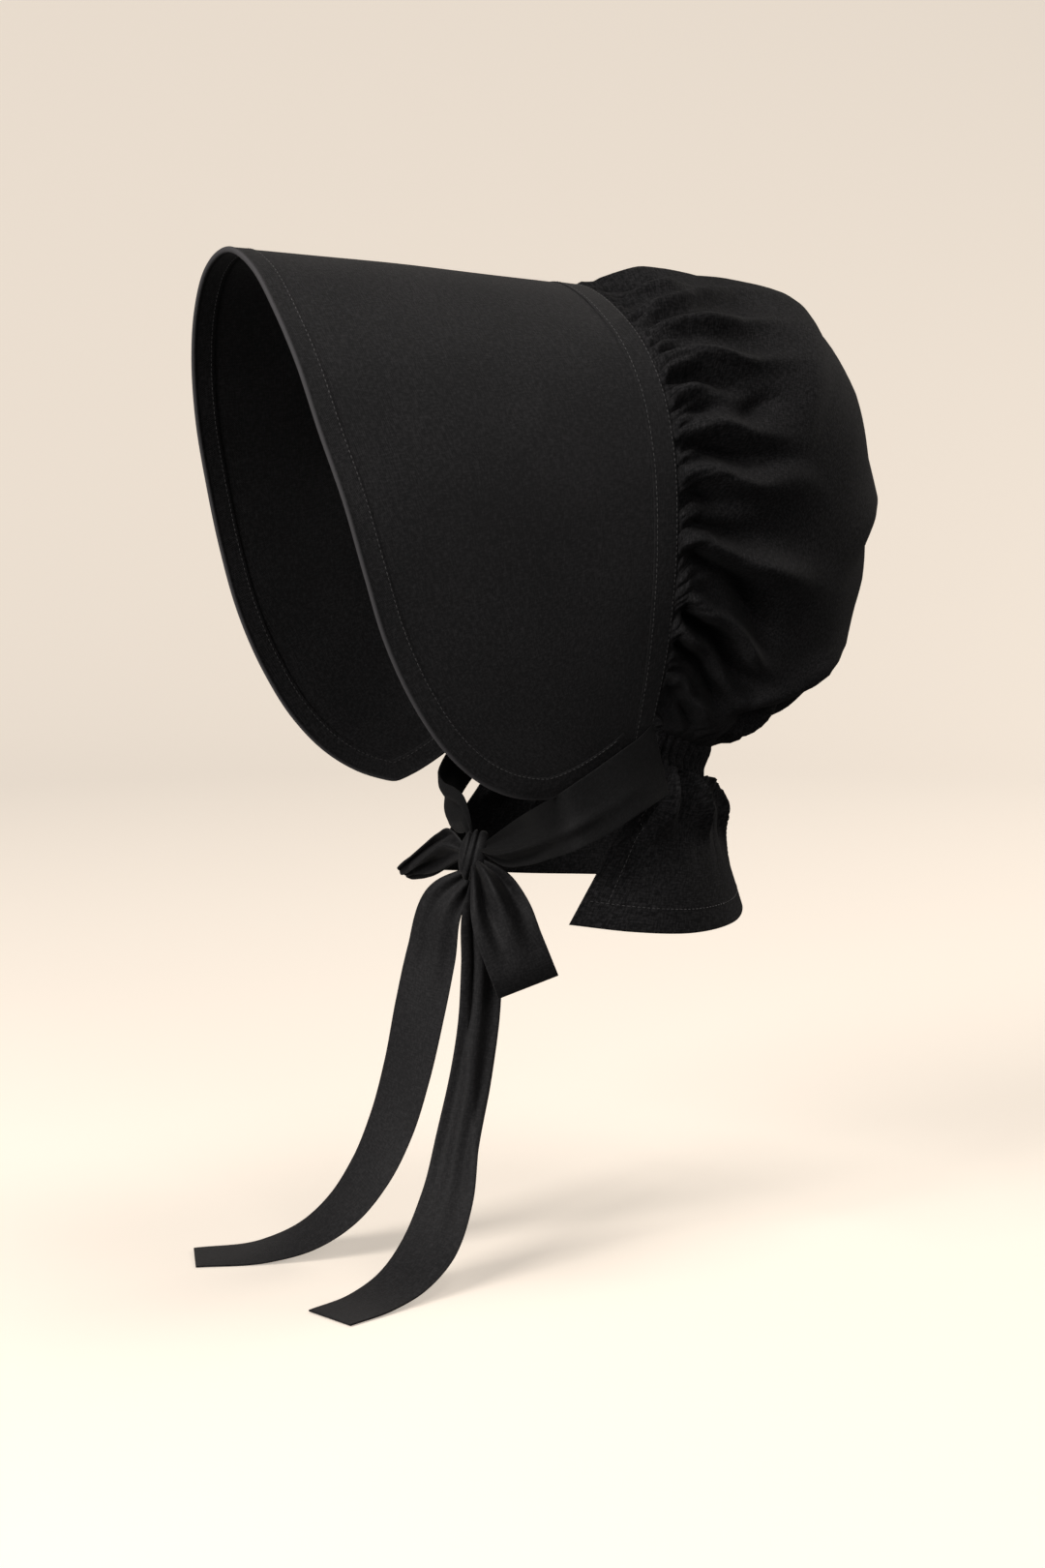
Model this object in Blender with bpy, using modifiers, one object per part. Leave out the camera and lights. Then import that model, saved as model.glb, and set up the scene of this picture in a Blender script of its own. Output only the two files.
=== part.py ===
# Pioneer bonnet of black cotton, with a stiff brim, a gathered crown, a neck curtain and ribbon ties.
# Metres, +Z up, front of the bonnet towards -Y, and +X is the wearer's left side.
# The origin is on top of the wearer's head, just under the crown seam.

import math
from collections import namedtuple

import bmesh
import bpy
import numpy as np
from mathutils import Vector
from mathutils.bvhtree import BVHTree

OBJECT_NAME = "pioneer_bonnet"

# Cloth and the gaps between its pieces
GAP = 0.0003
BINDING_GAP = 0.0005
BRIM_THICK = 0.0015
TRIM_THICK = 0.0010
CROWN_THICK = 0.0012
RIBBON_THICK = 0.0010
BINDING_WIDE = 0.0120
BAND_WIDE = 0.0125

# Number of facets: along the seam and the brim's edge, and from the edge inwards
BRIM_ROUND = 52
BRIM_DEEP = 6
CROWN_ROUND = 78
CROWN_DEEP = 12
CASING_ROUND = 52
CASING_DEEP = 1
CURTAIN_ROUND = 52
CURTAIN_DEEP = 5
RIBBON_ACROSS = 4
TIE_ALONG = 14
LOOP_ALONG = 16
TAIL_ALONG = 20
KNOT_ROUND = 14
KNOT_RINGS = 9

# Points inside the cloth that its outer face looks away from
HEAD_MIDDLE = (0.0, -0.02, -0.12)
NECK_MIDDLE = (0.0, -0.01, -0.26)

# Brim. Half of its front edge from the top centre down to the lobe beside the chin, and half of
# the seam behind it. far_drop is how much lower the same point lies on the wearer's right side.
EdgePoint = namedtuple("EdgePoint", "half_width y z far_drop")
FRONT_EDGE = [
    EdgePoint(0.0000, -0.1810, 0.0200, 0.000),
    EdgePoint(0.0310, -0.1803, 0.0110, 0.000),
    EdgePoint(0.0530, -0.1778, -0.0090, 0.000),
    EdgePoint(0.0680, -0.1740, -0.0310, 0.000),
    EdgePoint(0.0800, -0.1680, -0.0620, 0.000),
    EdgePoint(0.0885, -0.1600, -0.0930, 0.000),
    EdgePoint(0.0925, -0.1520, -0.1250, 0.000),
    EdgePoint(0.0938, -0.1420, -0.1580, 0.001),
    EdgePoint(0.0945, -0.1280, -0.1870, 0.003),
    EdgePoint(0.0942, -0.1125, -0.2085, 0.006),
    EdgePoint(0.0930, -0.0950, -0.2235, 0.009),
    EdgePoint(0.0910, -0.0770, -0.2315, 0.012),
    EdgePoint(0.0880, -0.0600, -0.2340, 0.015),
]
SEAM = [
    EdgePoint(0.0000, 0.0000, 0.0040, 0.000),
    EdgePoint(0.0225, 0.0005, -0.0005, 0.000),
    EdgePoint(0.0430, 0.0020, -0.0100, 0.000),
    EdgePoint(0.0610, 0.0040, -0.0230, 0.000),
    EdgePoint(0.0760, 0.0062, -0.0430, 0.000),
    EdgePoint(0.0860, 0.0078, -0.0730, 0.000),
    EdgePoint(0.0895, 0.0080, -0.1100, 0.000),
    EdgePoint(0.0885, 0.0070, -0.1400, 0.000),
    EdgePoint(0.0852, 0.0050, -0.1700, 0.000),
    EdgePoint(0.0800, 0.0000, -0.2050, 0.000),
]
BRIM_CAMBER = 0.0010
LOWER_EDGE_SAG = 0.0050
LOWER_EDGE_REACH = 0.12
# Where the strip folded over the brim's edge lies round that edge, in degrees
BINDING_TURNS = (90, 30, -30, -90)

# Crown. Each section is an arch that swings about the line between the two lower ends of the
# seam, from the seam (0 degrees) up over the back and down to the neck. reach is the height of
# the arch on the middle line, swell how far its sides stand out past the seam, and roundness
# turns the seam's own arch into an ellipse.
HINGE_Y = 0.0
HINGE_Z = -0.205
CORNER_RADIUS = 0.0065
CORNER_DEPTH = 0.06
SWELL_SHARPNESS = 12
SEAM_ALLOWANCE = 0.0008
# The rows of facets lie closest at the seam, where the cloth is gathered.
CROWN_ROW_SPREAD = 1.35
CrownSection = namedtuple("CrownSection", "degrees reach swell roundness")
CROWN_SECTIONS = [
    CrownSection(0.0, 0.2090, 0.0000, 0.00),
    CrownSection(1.0, 0.2096, 0.0003, 0.01),
    CrownSection(3.5, 0.2140, 0.0035, 0.03),
    CrownSection(8.0, 0.2185, 0.0075, 0.08),
    CrownSection(14.0, 0.2215, 0.0105, 0.15),
    CrownSection(22.0, 0.2280, 0.0130, 0.25),
    CrownSection(31.0, 0.2320, 0.0140, 0.36),
    CrownSection(41.0, 0.2180, 0.0140, 0.50),
    CrownSection(51.0, 0.1990, 0.0135, 0.60),
    CrownSection(61.0, 0.1830, 0.0125, 0.68),
    CrownSection(71.0, 0.1640, 0.0115, 0.74),
    CrownSection(81.0, 0.1410, 0.0105, 0.80),
    CrownSection(90.0, 0.1160, 0.0090, 0.86),
    CrownSection(99.0, 0.0890, 0.0060, 0.93),
    CrownSection(107.5, 0.0665, 0.0000, 1.00),
]
GATHER_COUNT = 26
GATHER_HEIGHT = 0.0021
GATHER_RISE = 0.05
GATHER_FULL = 0.08
GATHER_FADE = 0.30
NECK_GATHER_COUNT = 19
NECK_GATHER_HEIGHT = 0.0018
NECK_GATHER_START = 0.72
NECK_GATHER_RISE = 0.90
NECK_GATHER_FULL = 0.94

# Main folds of the crown: where each starts along the seam and where it ends, both as a share
# of the way round from the near lower end, how deep into the crown it starts and ends, and the
# height and half width of its ridge. Negative heights are hollows.
CrownFold = namedtuple("CrownFold", "start end start_depth end_depth height spread")
CROWN_FOLDS = [
    CrownFold(0.46, 0.47, 0.02, 0.28, 0.0039, 0.018),
    CrownFold(0.40, 0.43, 0.02, 0.34, 0.0042, 0.018),
    CrownFold(0.34, 0.40, 0.02, 0.40, 0.0050, 0.020),
    CrownFold(0.30, 0.345, 0.04, 0.55, -0.0056, 0.022),
    CrownFold(0.27, 0.30, 0.04, 0.60, 0.0056, 0.020),
    CrownFold(0.215, 0.24, 0.04, 0.62, -0.0048, 0.020),
    CrownFold(0.18, 0.20, 0.05, 0.70, 0.0050, 0.020),
    CrownFold(0.13, 0.17, 0.05, 0.95, -0.0063, 0.018),
    CrownFold(0.09, 0.14, 0.10, 0.95, 0.0063, 0.018),
    CrownFold(0.545, 0.53, 0.02, 0.30, 0.0036, 0.018),
    CrownFold(0.61, 0.575, 0.02, 0.36, 0.0045, 0.018),
    CrownFold(0.665, 0.61, 0.02, 0.42, 0.0048, 0.020),
    CrownFold(0.71, 0.665, 0.04, 0.50, -0.0053, 0.022),
    CrownFold(0.745, 0.70, 0.04, 0.60, 0.0056, 0.020),
    CrownFold(0.79, 0.755, 0.04, 0.62, -0.0048, 0.020),
    CrownFold(0.825, 0.80, 0.05, 0.72, 0.0048, 0.020),
    CrownFold(0.88, 0.84, 0.05, 0.95, -0.0059, 0.018),
    CrownFold(0.92, 0.87, 0.10, 0.95, 0.0059, 0.018),
]

# Casing, the narrow tightly gathered strip round the neck between the crown and the curtain
CASING_TALL = 0.0160
CASING_TOP_DROP = GAP + CROWN_THICK / 2
CASING_THICK = 0.0012
CASING_DRAWN = 0.0016
CASING_PLEATS = 18
CASING_PLEAT_HEIGHT = 0.0009

# Curtain. It hangs from the casing's lower edge. Half of its hem, from the back centre round to
# the front corner beside the chin.
HemPoint = namedtuple("HemPoint", "x y z")
CURTAIN_HEM = [
    HemPoint(0.0000, 0.0820, -0.3010),
    HemPoint(0.0430, 0.0730, -0.3030),
    HemPoint(0.0760, 0.0490, -0.3055),
    HemPoint(0.0920, 0.0170, -0.3050),
    HemPoint(0.0930, -0.0150, -0.3015),
    HemPoint(0.0840, -0.0450, -0.2970),
]
CURTAIN_THICK = 0.0012
CURTAIN_FLARE = 0.003
CURTAIN_WIDE_WAVES = 9
CURTAIN_NARROW_WAVES = 14
CURTAIN_WIDE_HEIGHT = 0.0026
CURTAIN_NARROW_HEIGHT = 0.0016
CURTAIN_WAVE_START = -0.2
CURTAIN_WAVE_FULL = 0.9

# Ribbons. facing is the compass direction that the face looks to, from the front (0) round to
# the wearer's left (90), and tilt is how far the face looks up, both in degrees.
LOOK_AHEAD = 0.01
Station = namedtuple("Station", "x y z width facing tilt bow")
KNOT_CENTRE = (0.0, -0.0590, -0.2755)
KNOT_RADII = (0.0080, 0.0068, 0.0120)


def knot_side(x, y, z):
    """Where a ribbon that comes out of the knot in this direction starts, a gap clear of it."""
    direction = Vector((x, y, z)).normalized()
    scaled = Vector(part / radius for part, radius in zip(direction, KNOT_RADII))
    reach = 1 / scaled.length + GAP + RIBBON_THICK / 2
    return tuple(Vector(KNOT_CENTRE) + direction * reach)


TIE_LEFT = [
    Station(0.0850, 0.0080, -0.2165, 0.0240, 90, 0, 0.0005),
    Station(0.0895, -0.0080, -0.2255, 0.0285, 88, 2, 0.0005),
    Station(0.0930, -0.0260, -0.2365, 0.0300, 84, 0, 0.0005),
    Station(0.0935, -0.0430, -0.2455, 0.0300, 76, -2, 0.0005),
    Station(0.0850, -0.0545, -0.2535, 0.0300, 48, -6, 0.0015),
    Station(0.0590, -0.0565, -0.2600, 0.0275, 24, -8, 0.0025),
    Station(0.0310, -0.0560, -0.2665, 0.0200, 14, -6, 0.0020),
    Station(*knot_side(1.0, 0.5, 0.3), 0.0110, 6, 0, 0.0005),
]
TIE_RIGHT = [
    Station(-0.0850, 0.0080, -0.2165, 0.0240, -90, 0, 0.0005),
    Station(-0.0900, -0.0060, -0.2260, 0.0285, -88, 2, 0.0005),
    Station(-0.0930, -0.0230, -0.2460, 0.0300, -84, 0, 0.0005),
    Station(-0.0910, -0.0380, -0.2590, 0.0300, -66, -4, 0.0005),
    Station(-0.0720, -0.0460, -0.2630, 0.0290, -38, -8, 0.0020),
    Station(-0.0480, -0.0485, -0.2630, 0.0260, -22, -8, 0.0020),
    Station(-0.0270, -0.0510, -0.2620, 0.0190, -14, -6, 0.0015),
    Station(*knot_side(-0.6, 0.4, 0.75), 0.0100, -6, 0, 0.0005),
]
NEAR_LOOP = [
    Station(*knot_side(0.75, -0.65, -0.3), 0.0100, 50, 6, 0.0),
    Station(0.0180, -0.0630, -0.2860, 0.0160, 58, 14, 0.0),
    Station(0.0275, -0.0600, -0.2970, 0.0230, 62, 8, 0.0),
    Station(0.0320, -0.0540, -0.3140, 0.0290, 63, 0, 0.0),
    Station(0.0315, -0.0470, -0.3300, 0.0300, 63, -20, 0.0),
    Station(0.0250, -0.0410, -0.3375, 0.0300, 63, -88, 0.0),
    Station(0.0180, -0.0410, -0.3300, 0.0300, 63, -165, 0.0),
    Station(0.0150, -0.0455, -0.3140, 0.0290, 63, -178, 0.0),
    Station(0.0135, -0.0510, -0.2990, 0.0210, 60, -180, 0.0),
    Station(*knot_side(0.7, 0.0, -0.75), 0.0100, 50, -180, 0.0),
]
FAR_LOOP = [
    Station(*knot_side(-0.75, -0.7, 0.15), 0.0110, 10, 20, 0.0),
    Station(-0.0220, -0.0700, -0.2755, 0.0200, 14, 14, 0.0),
    Station(-0.0370, -0.0745, -0.2800, 0.0240, 4, 10, 0.0),
    Station(-0.0490, -0.0730, -0.2860, 0.0240, -40, 6, 0.0),
    Station(-0.0530, -0.0665, -0.2880, 0.0240, -90, 4, 0.0),
    Station(-0.0460, -0.0610, -0.2870, 0.0240, -150, 0, 0.0),
    Station(-0.0330, -0.0590, -0.2840, 0.0220, -178, 0, 0.0),
    Station(-0.0200, -0.0590, -0.2805, 0.0160, -178, 0, 0.0),
    Station(*knot_side(-0.85, 0.0, -0.35), 0.0090, -178, 0, 0.0),
]
TAIL_FRONT = [
    Station(*knot_side(-0.35, -0.1, -1.0), 0.0085, 78, 0, 0.0005),
    Station(-0.0090, -0.0680, -0.3000, 0.0230, 40, 10, 0.0010),
    Station(-0.0160, -0.0720, -0.3280, 0.0280, 36, 4, 0.0010),
    Station(-0.0200, -0.0765, -0.3560, 0.0300, 32, 4, 0.0010),
    Station(-0.0240, -0.0820, -0.3880, 0.0300, 28, 6, 0.0010),
    Station(-0.0280, -0.0890, -0.4160, 0.0300, 26, 14, 0.0010),
    Station(-0.0320, -0.0990, -0.4400, 0.0300, 24, 30, 0.0010),
    Station(-0.0360, -0.1130, -0.4595, 0.0300, 22, 48, 0.0010),
    Station(-0.0410, -0.1300, -0.4725, 0.0300, 20, 66, 0.0008),
    Station(-0.0470, -0.1510, -0.4795, 0.0300, 18, 80, 0.0005),
    Station(-0.0580, -0.1850, -0.4815, 0.0300, 14, 88, 0.0),
]
TAIL_BACK = [
    Station(*knot_side(0.12, 0.10, -1.0), 0.0070, 95, 0, 0.0005),
    Station(0.0015, -0.0545, -0.3040, 0.0200, 96, 0, 0.0020),
    Station(0.0015, -0.0545, -0.3300, 0.0280, 108, 0, 0.0030),
    Station(0.0050, -0.0580, -0.3560, 0.0300, 108, 0, 0.0020),
    Station(0.0110, -0.0645, -0.3860, 0.0300, 92, 0, 0.0010),
    Station(0.0180, -0.0735, -0.4160, 0.0300, 68, 6, 0.0010),
    Station(0.0260, -0.0840, -0.4420, 0.0300, 52, 20, 0.0010),
    Station(0.0350, -0.0970, -0.4620, 0.0300, 44, 44, 0.0010),
    Station(0.0430, -0.1140, -0.4745, 0.0300, 38, 66, 0.0008),
    Station(0.0510, -0.1340, -0.4800, 0.0300, 34, 82, 0.0005),
    Station(0.0600, -0.1600, -0.4815, 0.0300, 30, 88, 0.0),
]

# Colours and finishes
COTTON_BLACK = (0.016, 0.015, 0.015, 1.0)
RIBBON_BLACK = (0.020, 0.018, 0.019, 1.0)
COTTON_ROUGH = 0.85
RIBBON_ROUGH = 0.60


def smooth_table(rows, ways=None):
    """Smooth values through the rows. Without ways, they are shares of the length through x, y and z."""
    knots = np.array(rows, dtype=float)
    if ways is None:
        steps = np.linalg.norm(np.diff(knots[:, :3], axis=0), axis=1)
        ways = np.concatenate(([0.0], np.cumsum(steps))) / steps.sum()
    ways = np.array(ways, dtype=float)
    slopes = np.gradient(knots, ways, axis=0)

    def at(way):
        row = int(np.clip(np.searchsorted(ways, way) - 1, 0, len(ways) - 2))
        step = ways[row + 1] - ways[row]
        part = (way - ways[row]) / step
        square, cube = part**2, part**3
        return (
            (2 * cube - 3 * square + 1) * knots[row]
            + (cube - 2 * square + part) * step * slopes[row]
            + (3 * square - 2 * cube) * knots[row + 1]
            + (cube - square) * step * slopes[row + 1]
        )

    return at


def arch_line(rows):
    """The whole arch of an edge, from its near lower end (0) over the top (0.5) to the far one (1)."""
    near = [(row.half_width, row.y, row.z) for row in reversed(rows)]
    far = [(-row.half_width, row.y, row.z - row.far_drop) for row in rows[1:]]
    return smooth_table(near + far)


def soft_step(value, start, end):
    part = min(max((value - start) / (end - start), 0.0), 1.0)
    return part * part * (3 - 2 * part)


front_edge = arch_line(FRONT_EDGE)
seam_line = arch_line(SEAM)


def brim_point(round_share, deep_share):
    """A point halfway through the brim's cloth, 0 at its front edge and 1 at the seam."""
    front = front_edge(round_share)
    seam = seam_line(round_share)
    point = front + (seam - front) * deep_share
    hump = 4 * deep_share * (1 - deep_share)
    to_end = min(round_share, 1 - round_share)
    outwards = np.array([point[0], 0.0, point[2] - HEAD_MIDDLE[2]])
    outwards /= np.linalg.norm(outwards)
    point = point + outwards * BRIM_CAMBER * hump
    point[2] -= LOWER_EDGE_SAG * hump * (1 - soft_step(to_end, 0.0, LOWER_EDGE_REACH))
    return point


def brim_length(round_share):
    return np.linalg.norm(seam_line(round_share) - front_edge(round_share))


crown_section = smooth_table(CROWN_SECTIONS, [row.degrees for row in CROWN_SECTIONS])
FULL_REACH = SEAM[0].z - HINGE_Z
END_WIDTH = SEAM[-1].half_width


def crown_depth(step_share):
    """How deep in the crown a row of its grid lies."""
    return step_share**CROWN_ROW_SPREAD


def crown_point(round_share, deep_share):
    """A point halfway through the crown's cloth, 0 at the seam and 1 at the neck."""
    degrees, reach, swell, roundness = crown_section(deep_share * CROWN_SECTIONS[-1].degrees)
    seam = seam_line(round_share)
    angle = (round_share - 0.5) * math.pi
    arch_x = seam[0] + (-END_WIDTH * math.sin(angle) - seam[0]) * roundness
    arch_up = (seam[2] - HINGE_Z) / FULL_REACH
    arch_up += (math.cos(angle) - arch_up) * roundness
    side = -math.sin(angle)
    arch_x += swell * side * (1 - abs(side) ** SWELL_SHARPNESS)
    corner = CORNER_RADIUS * soft_step(deep_share, 0.0, CORNER_DEPTH)
    up = corner + (reach - corner) * arch_up
    forward = (seam[1] - HINGE_Y) * (1 - deep_share) * (1 - roundness)
    turn = math.radians(degrees)
    y = HINGE_Y + up * math.sin(turn) + forward + SEAM_ALLOWANCE
    return np.array([arch_x, y, HINGE_Z + up * math.cos(turn)])


def crown_relief(round_share, deep_share):
    """How far the gathers and main folds lift the crown's cloth."""
    gathers = math.cos(round_share * GATHER_COUNT * 2 * math.pi)
    fade = soft_step(deep_share, 0.0, GATHER_RISE)
    fade *= 1 - soft_step(deep_share, GATHER_FULL, GATHER_FADE)
    relief = GATHER_HEIGHT * gathers * fade
    neck_gathers = math.cos(round_share * NECK_GATHER_COUNT * 2 * math.pi)
    neck_fade = soft_step(deep_share, NECK_GATHER_START, NECK_GATHER_RISE)
    neck_fade *= 1 - soft_step(deep_share, NECK_GATHER_FULL, 1.0)
    relief += NECK_GATHER_HEIGHT * neck_gathers * neck_fade
    for fold in CROWN_FOLDS:
        along = (deep_share - fold.start_depth) / (fold.end_depth - fold.start_depth)
        if 0.0 < along < 1.0:
            middle = fold.start + (fold.end - fold.start) * along
            aside = (round_share - middle) / fold.spread
            relief += fold.height * math.exp(-aside * aside) * math.sin(math.pi * along)
    return relief


def neck_point(round_share, drop):
    """A point of the neck's edge, drop below the crown's lower end."""
    point = crown_point(round_share, 1.0)
    inwards = 1 - CASING_DRAWN / math.hypot(point[0], point[1] - NECK_MIDDLE[1])
    return np.array([point[0] * inwards, point[1] * inwards, point[2] - drop])


def casing_point(round_share, deep_share):
    return neck_point(round_share, CASING_TOP_DROP + deep_share * CASING_TALL)


def casing_relief(round_share, deep_share):
    return CASING_PLEAT_HEIGHT * math.cos(round_share * CASING_PLEATS * 2 * math.pi)


def hem_line():
    near = [tuple(row) for row in reversed(CURTAIN_HEM)]
    return smooth_table(near + [(-row.x, row.y, row.z) for row in CURTAIN_HEM[1:]])


curtain_hem = hem_line()


def curtain_point(round_share, deep_share):
    """A point halfway through the curtain's cloth, 0 at the casing and 1 at the hem."""
    top = neck_point(round_share, CASING_TOP_DROP + CASING_TALL + SEAM_ALLOWANCE)
    hem = curtain_hem(round_share)
    point = top + (hem - top) * deep_share
    outwards = np.array([point[0], point[1] - NECK_MIDDLE[1], 0.0])
    outwards /= np.linalg.norm(outwards)
    return point + outwards * CURTAIN_FLARE * 4 * deep_share * (1 - deep_share)


def curtain_relief(round_share, deep_share):
    turn = round_share * 2 * math.pi
    wide = CURTAIN_WIDE_HEIGHT * math.cos(turn * CURTAIN_WIDE_WAVES)
    narrow = CURTAIN_NARROW_HEIGHT * math.sin(turn * CURTAIN_NARROW_WAVES)
    return (wide + narrow) * soft_step(deep_share, CURTAIN_WAVE_START, CURTAIN_WAVE_FULL)


def make_material(name, colour, roughness):
    material = bpy.data.materials.new(name)
    material.use_nodes = True
    shader = material.node_tree.nodes["Principled BSDF"]
    shader.inputs["Base Color"].default_value = colour
    shader.inputs["Roughness"].default_value = roughness
    shader.inputs["Metallic"].default_value = 0.0
    return material


def grid_mesh(across, along, place, relief=None, outwards_from=None):
    """A grid laid over place(across share, along share), lifted along its normals by relief."""
    mesh = bmesh.new()
    bmesh.ops.create_grid(mesh, x_segments=across, y_segments=along, size=1.0)
    shares = [((vert.co.x + 1) / 2, (vert.co.y + 1) / 2) for vert in mesh.verts]
    for vert, (share, depth) in zip(mesh.verts, shares):
        vert.co = Vector(place(share, depth))
    mesh.normal_update()
    if outwards_from is not None:
        mesh.faces.ensure_lookup_table()
        middle = mesh.faces[len(mesh.faces) // 2]
        if middle.normal.dot(middle.calc_center_median() - Vector(outwards_from)) < 0:
            bmesh.ops.reverse_faces(mesh, faces=mesh.faces)
            mesh.normal_update()
    if relief is not None:
        lifts = [vert.normal * relief(*pair) for vert, pair in zip(mesh.verts, shares)]
        for vert, lift in zip(mesh.verts, lifts):
            vert.co += lift
    return mesh


def cloth_object(name, mesh, thick, material, collection):
    """An object whose open sheet is given its thickness by Solidify."""
    data = bpy.data.meshes.new(name)
    mesh.to_mesh(data)
    mesh.free()
    data.shade_smooth()
    data.materials.append(material)
    cloth = bpy.data.objects.new(name, data)
    collection.objects.link(cloth)
    wall = cloth.modifiers.new("wall", "SOLIDIFY")
    wall.thickness = thick
    wall.offset = 0.0
    wall.use_even_offset = True
    wall.use_quality_normals = True
    return cloth


def make_brim(material, collection):
    mesh = grid_mesh(BRIM_ROUND, BRIM_DEEP, brim_point, outwards_from=HEAD_MIDDLE)
    return cloth_object("brim", mesh, BRIM_THICK, material, collection)


def band_point(round_share, deep_share):
    """The seam band lies on the brim, just in front of the seam."""
    wide = BAND_WIDE / brim_length(round_share)
    return brim_point(round_share, 1 - wide * (1 - deep_share))


def make_crown_band(material, collection):
    lift = BRIM_THICK / 2 + GAP + TRIM_THICK / 2
    mesh = grid_mesh(BRIM_ROUND, 1, band_point, lambda share, depth: lift, HEAD_MIDDLE)
    return cloth_object("crown_band", mesh, TRIM_THICK, material, collection)


def make_crown(material, collection):
    def place(round_share, step_share):
        return crown_point(round_share, crown_depth(step_share))

    def relief(round_share, step_share):
        return crown_relief(round_share, crown_depth(step_share))

    mesh = grid_mesh(CROWN_ROUND, CROWN_DEEP, place, relief, HEAD_MIDDLE)
    return cloth_object("crown", mesh, CROWN_THICK, material, collection)


def make_casing(material, collection):
    mesh = grid_mesh(CASING_ROUND, CASING_DEEP, casing_point, casing_relief, NECK_MIDDLE)
    return cloth_object("neck_casing", mesh, CASING_THICK, material, collection)


def make_curtain(material, collection):
    mesh = grid_mesh(CURTAIN_ROUND, CURTAIN_DEEP, curtain_point, curtain_relief, NECK_MIDDLE)
    return cloth_object("neck_curtain", mesh, CURTAIN_THICK, material, collection)


def brim_border():
    """Points round the brim's free edge, from the near end of the seam round to the far one."""
    inner_end = 1 - (BAND_WIDE + 2 * GAP) / brim_length(0.0)
    steps = [step / BRIM_DEEP for step in range(1, BRIM_DEEP) if step / BRIM_DEEP < inner_end]
    depths = steps + [inner_end]
    near = [(0.0, depth) for depth in reversed(depths)]
    front = [(step / BRIM_ROUND, 0.0) for step in range(BRIM_ROUND + 1)]
    far = [(1.0, depth) for depth in depths]
    return [Vector(brim_point(*pair)) for pair in near + front + far]


def make_brim_binding(material, collection):
    """A strip folded over the brim's free edge. Its layers follow the brim's two faces."""
    brim = grid_mesh(BRIM_ROUND, BRIM_DEEP, brim_point, outwards_from=HEAD_MIDDLE)
    surface = BVHTree.FromBMesh(brim)
    border = brim_border()
    last = len(border) - 1
    lift = BRIM_THICK / 2 + BINDING_GAP + TRIM_THICK / 2

    def place(round_share, fold_share):
        step = round(round_share * last)
        ahead = (border[min(step + 1, last)] - border[max(step - 1, 0)]).normalized()
        spot, normal = surface.find_nearest(border[step])[:2]
        inwards = ahead.cross(normal).normalized()
        stop = round(fold_share * (len(BINDING_TURNS) + 1))
        if 1 <= stop <= len(BINDING_TURNS):
            turn = math.radians(BINDING_TURNS[stop - 1])
            return spot + normal * lift * math.sin(turn) - inwards * lift * math.cos(turn)
        side = 1 if stop == 0 else -1
        spot, normal = surface.find_nearest(spot + inwards * BINDING_WIDE)[:2]
        return spot + normal * lift * side

    mesh = grid_mesh(last, len(BINDING_TURNS) + 1, place)
    brim.free()
    return cloth_object("brim_binding", mesh, TRIM_THICK, material, collection)


def make_ribbon(name, stations, along, material, collection):
    """A ribbon along its stations, with its face turned as facing and tilt say."""
    route = smooth_table(stations)

    def place(across_share, along_share):
        x, y, z, width, facing, tilt, bow = route(along_share)
        before = route(max(along_share - LOOK_AHEAD, 0.0))[:3]
        after = route(min(along_share + LOOK_AHEAD, 1.0))[:3]
        ahead = Vector(after - before).normalized()
        compass, rise = math.radians(facing), math.radians(tilt)
        face = Vector((
            math.sin(compass) * math.cos(rise),
            -math.cos(compass) * math.cos(rise),
            math.sin(rise),
        ))
        aside = ahead.cross(face).normalized()
        face = aside.cross(ahead)
        side = across_share - 0.5
        return Vector((x, y, z)) + aside * width * side + face * bow * (1 - 4 * side * side)

    mesh = grid_mesh(RIBBON_ACROSS, along, place)
    return cloth_object(name, mesh, RIBBON_THICK, material, collection)


def make_bow_knot(material, collection):
    """The ribbon wound round the middle of the bow."""
    mesh = bmesh.new()
    bmesh.ops.create_uvsphere(mesh, u_segments=KNOT_ROUND, v_segments=KNOT_RINGS, radius=1.0)
    bmesh.ops.scale(mesh, vec=KNOT_RADII, verts=mesh.verts)
    bmesh.ops.translate(mesh, vec=KNOT_CENTRE, verts=mesh.verts)
    data = bpy.data.meshes.new("bow_knot")
    mesh.to_mesh(data)
    mesh.free()
    data.shade_smooth()
    data.materials.append(material)
    collection.objects.link(bpy.data.objects.new("bow_knot", data))


def main():
    for old in list(bpy.data.objects):
        bpy.data.objects.remove(old, do_unlink=True)
    collection = bpy.data.collections.new(OBJECT_NAME)
    bpy.context.scene.collection.children.link(collection)
    cloth = {}
    for name in ("brim", "brim_binding", "crown_band", "crown", "neck_casing", "neck_curtain"):
        cloth[name] = make_material(name + "_cotton", COTTON_BLACK, COTTON_ROUGH)
    ribbons = {
        "tie_left": (TIE_LEFT, TIE_ALONG),
        "tie_right": (TIE_RIGHT, TIE_ALONG),
        "bow_loop_left": (NEAR_LOOP, LOOP_ALONG),
        "bow_loop_right": (FAR_LOOP, LOOP_ALONG),
        "tail_front": (TAIL_FRONT, TAIL_ALONG),
        "tail_back": (TAIL_BACK, TAIL_ALONG),
    }
    make_brim(cloth["brim"], collection)
    make_brim_binding(cloth["brim_binding"], collection)
    make_crown_band(cloth["crown_band"], collection)
    make_crown(cloth["crown"], collection)
    make_casing(cloth["neck_casing"], collection)
    make_curtain(cloth["neck_curtain"], collection)
    make_bow_knot(make_material("bow_knot_ribbon", RIBBON_BLACK, RIBBON_ROUGH), collection)
    for name, (stations, along) in ribbons.items():
        material = make_material(name + "_ribbon", RIBBON_BLACK, RIBBON_ROUGH)
        make_ribbon(name, stations, along, material, collection)


if __name__ == "__main__":
    main()
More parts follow.
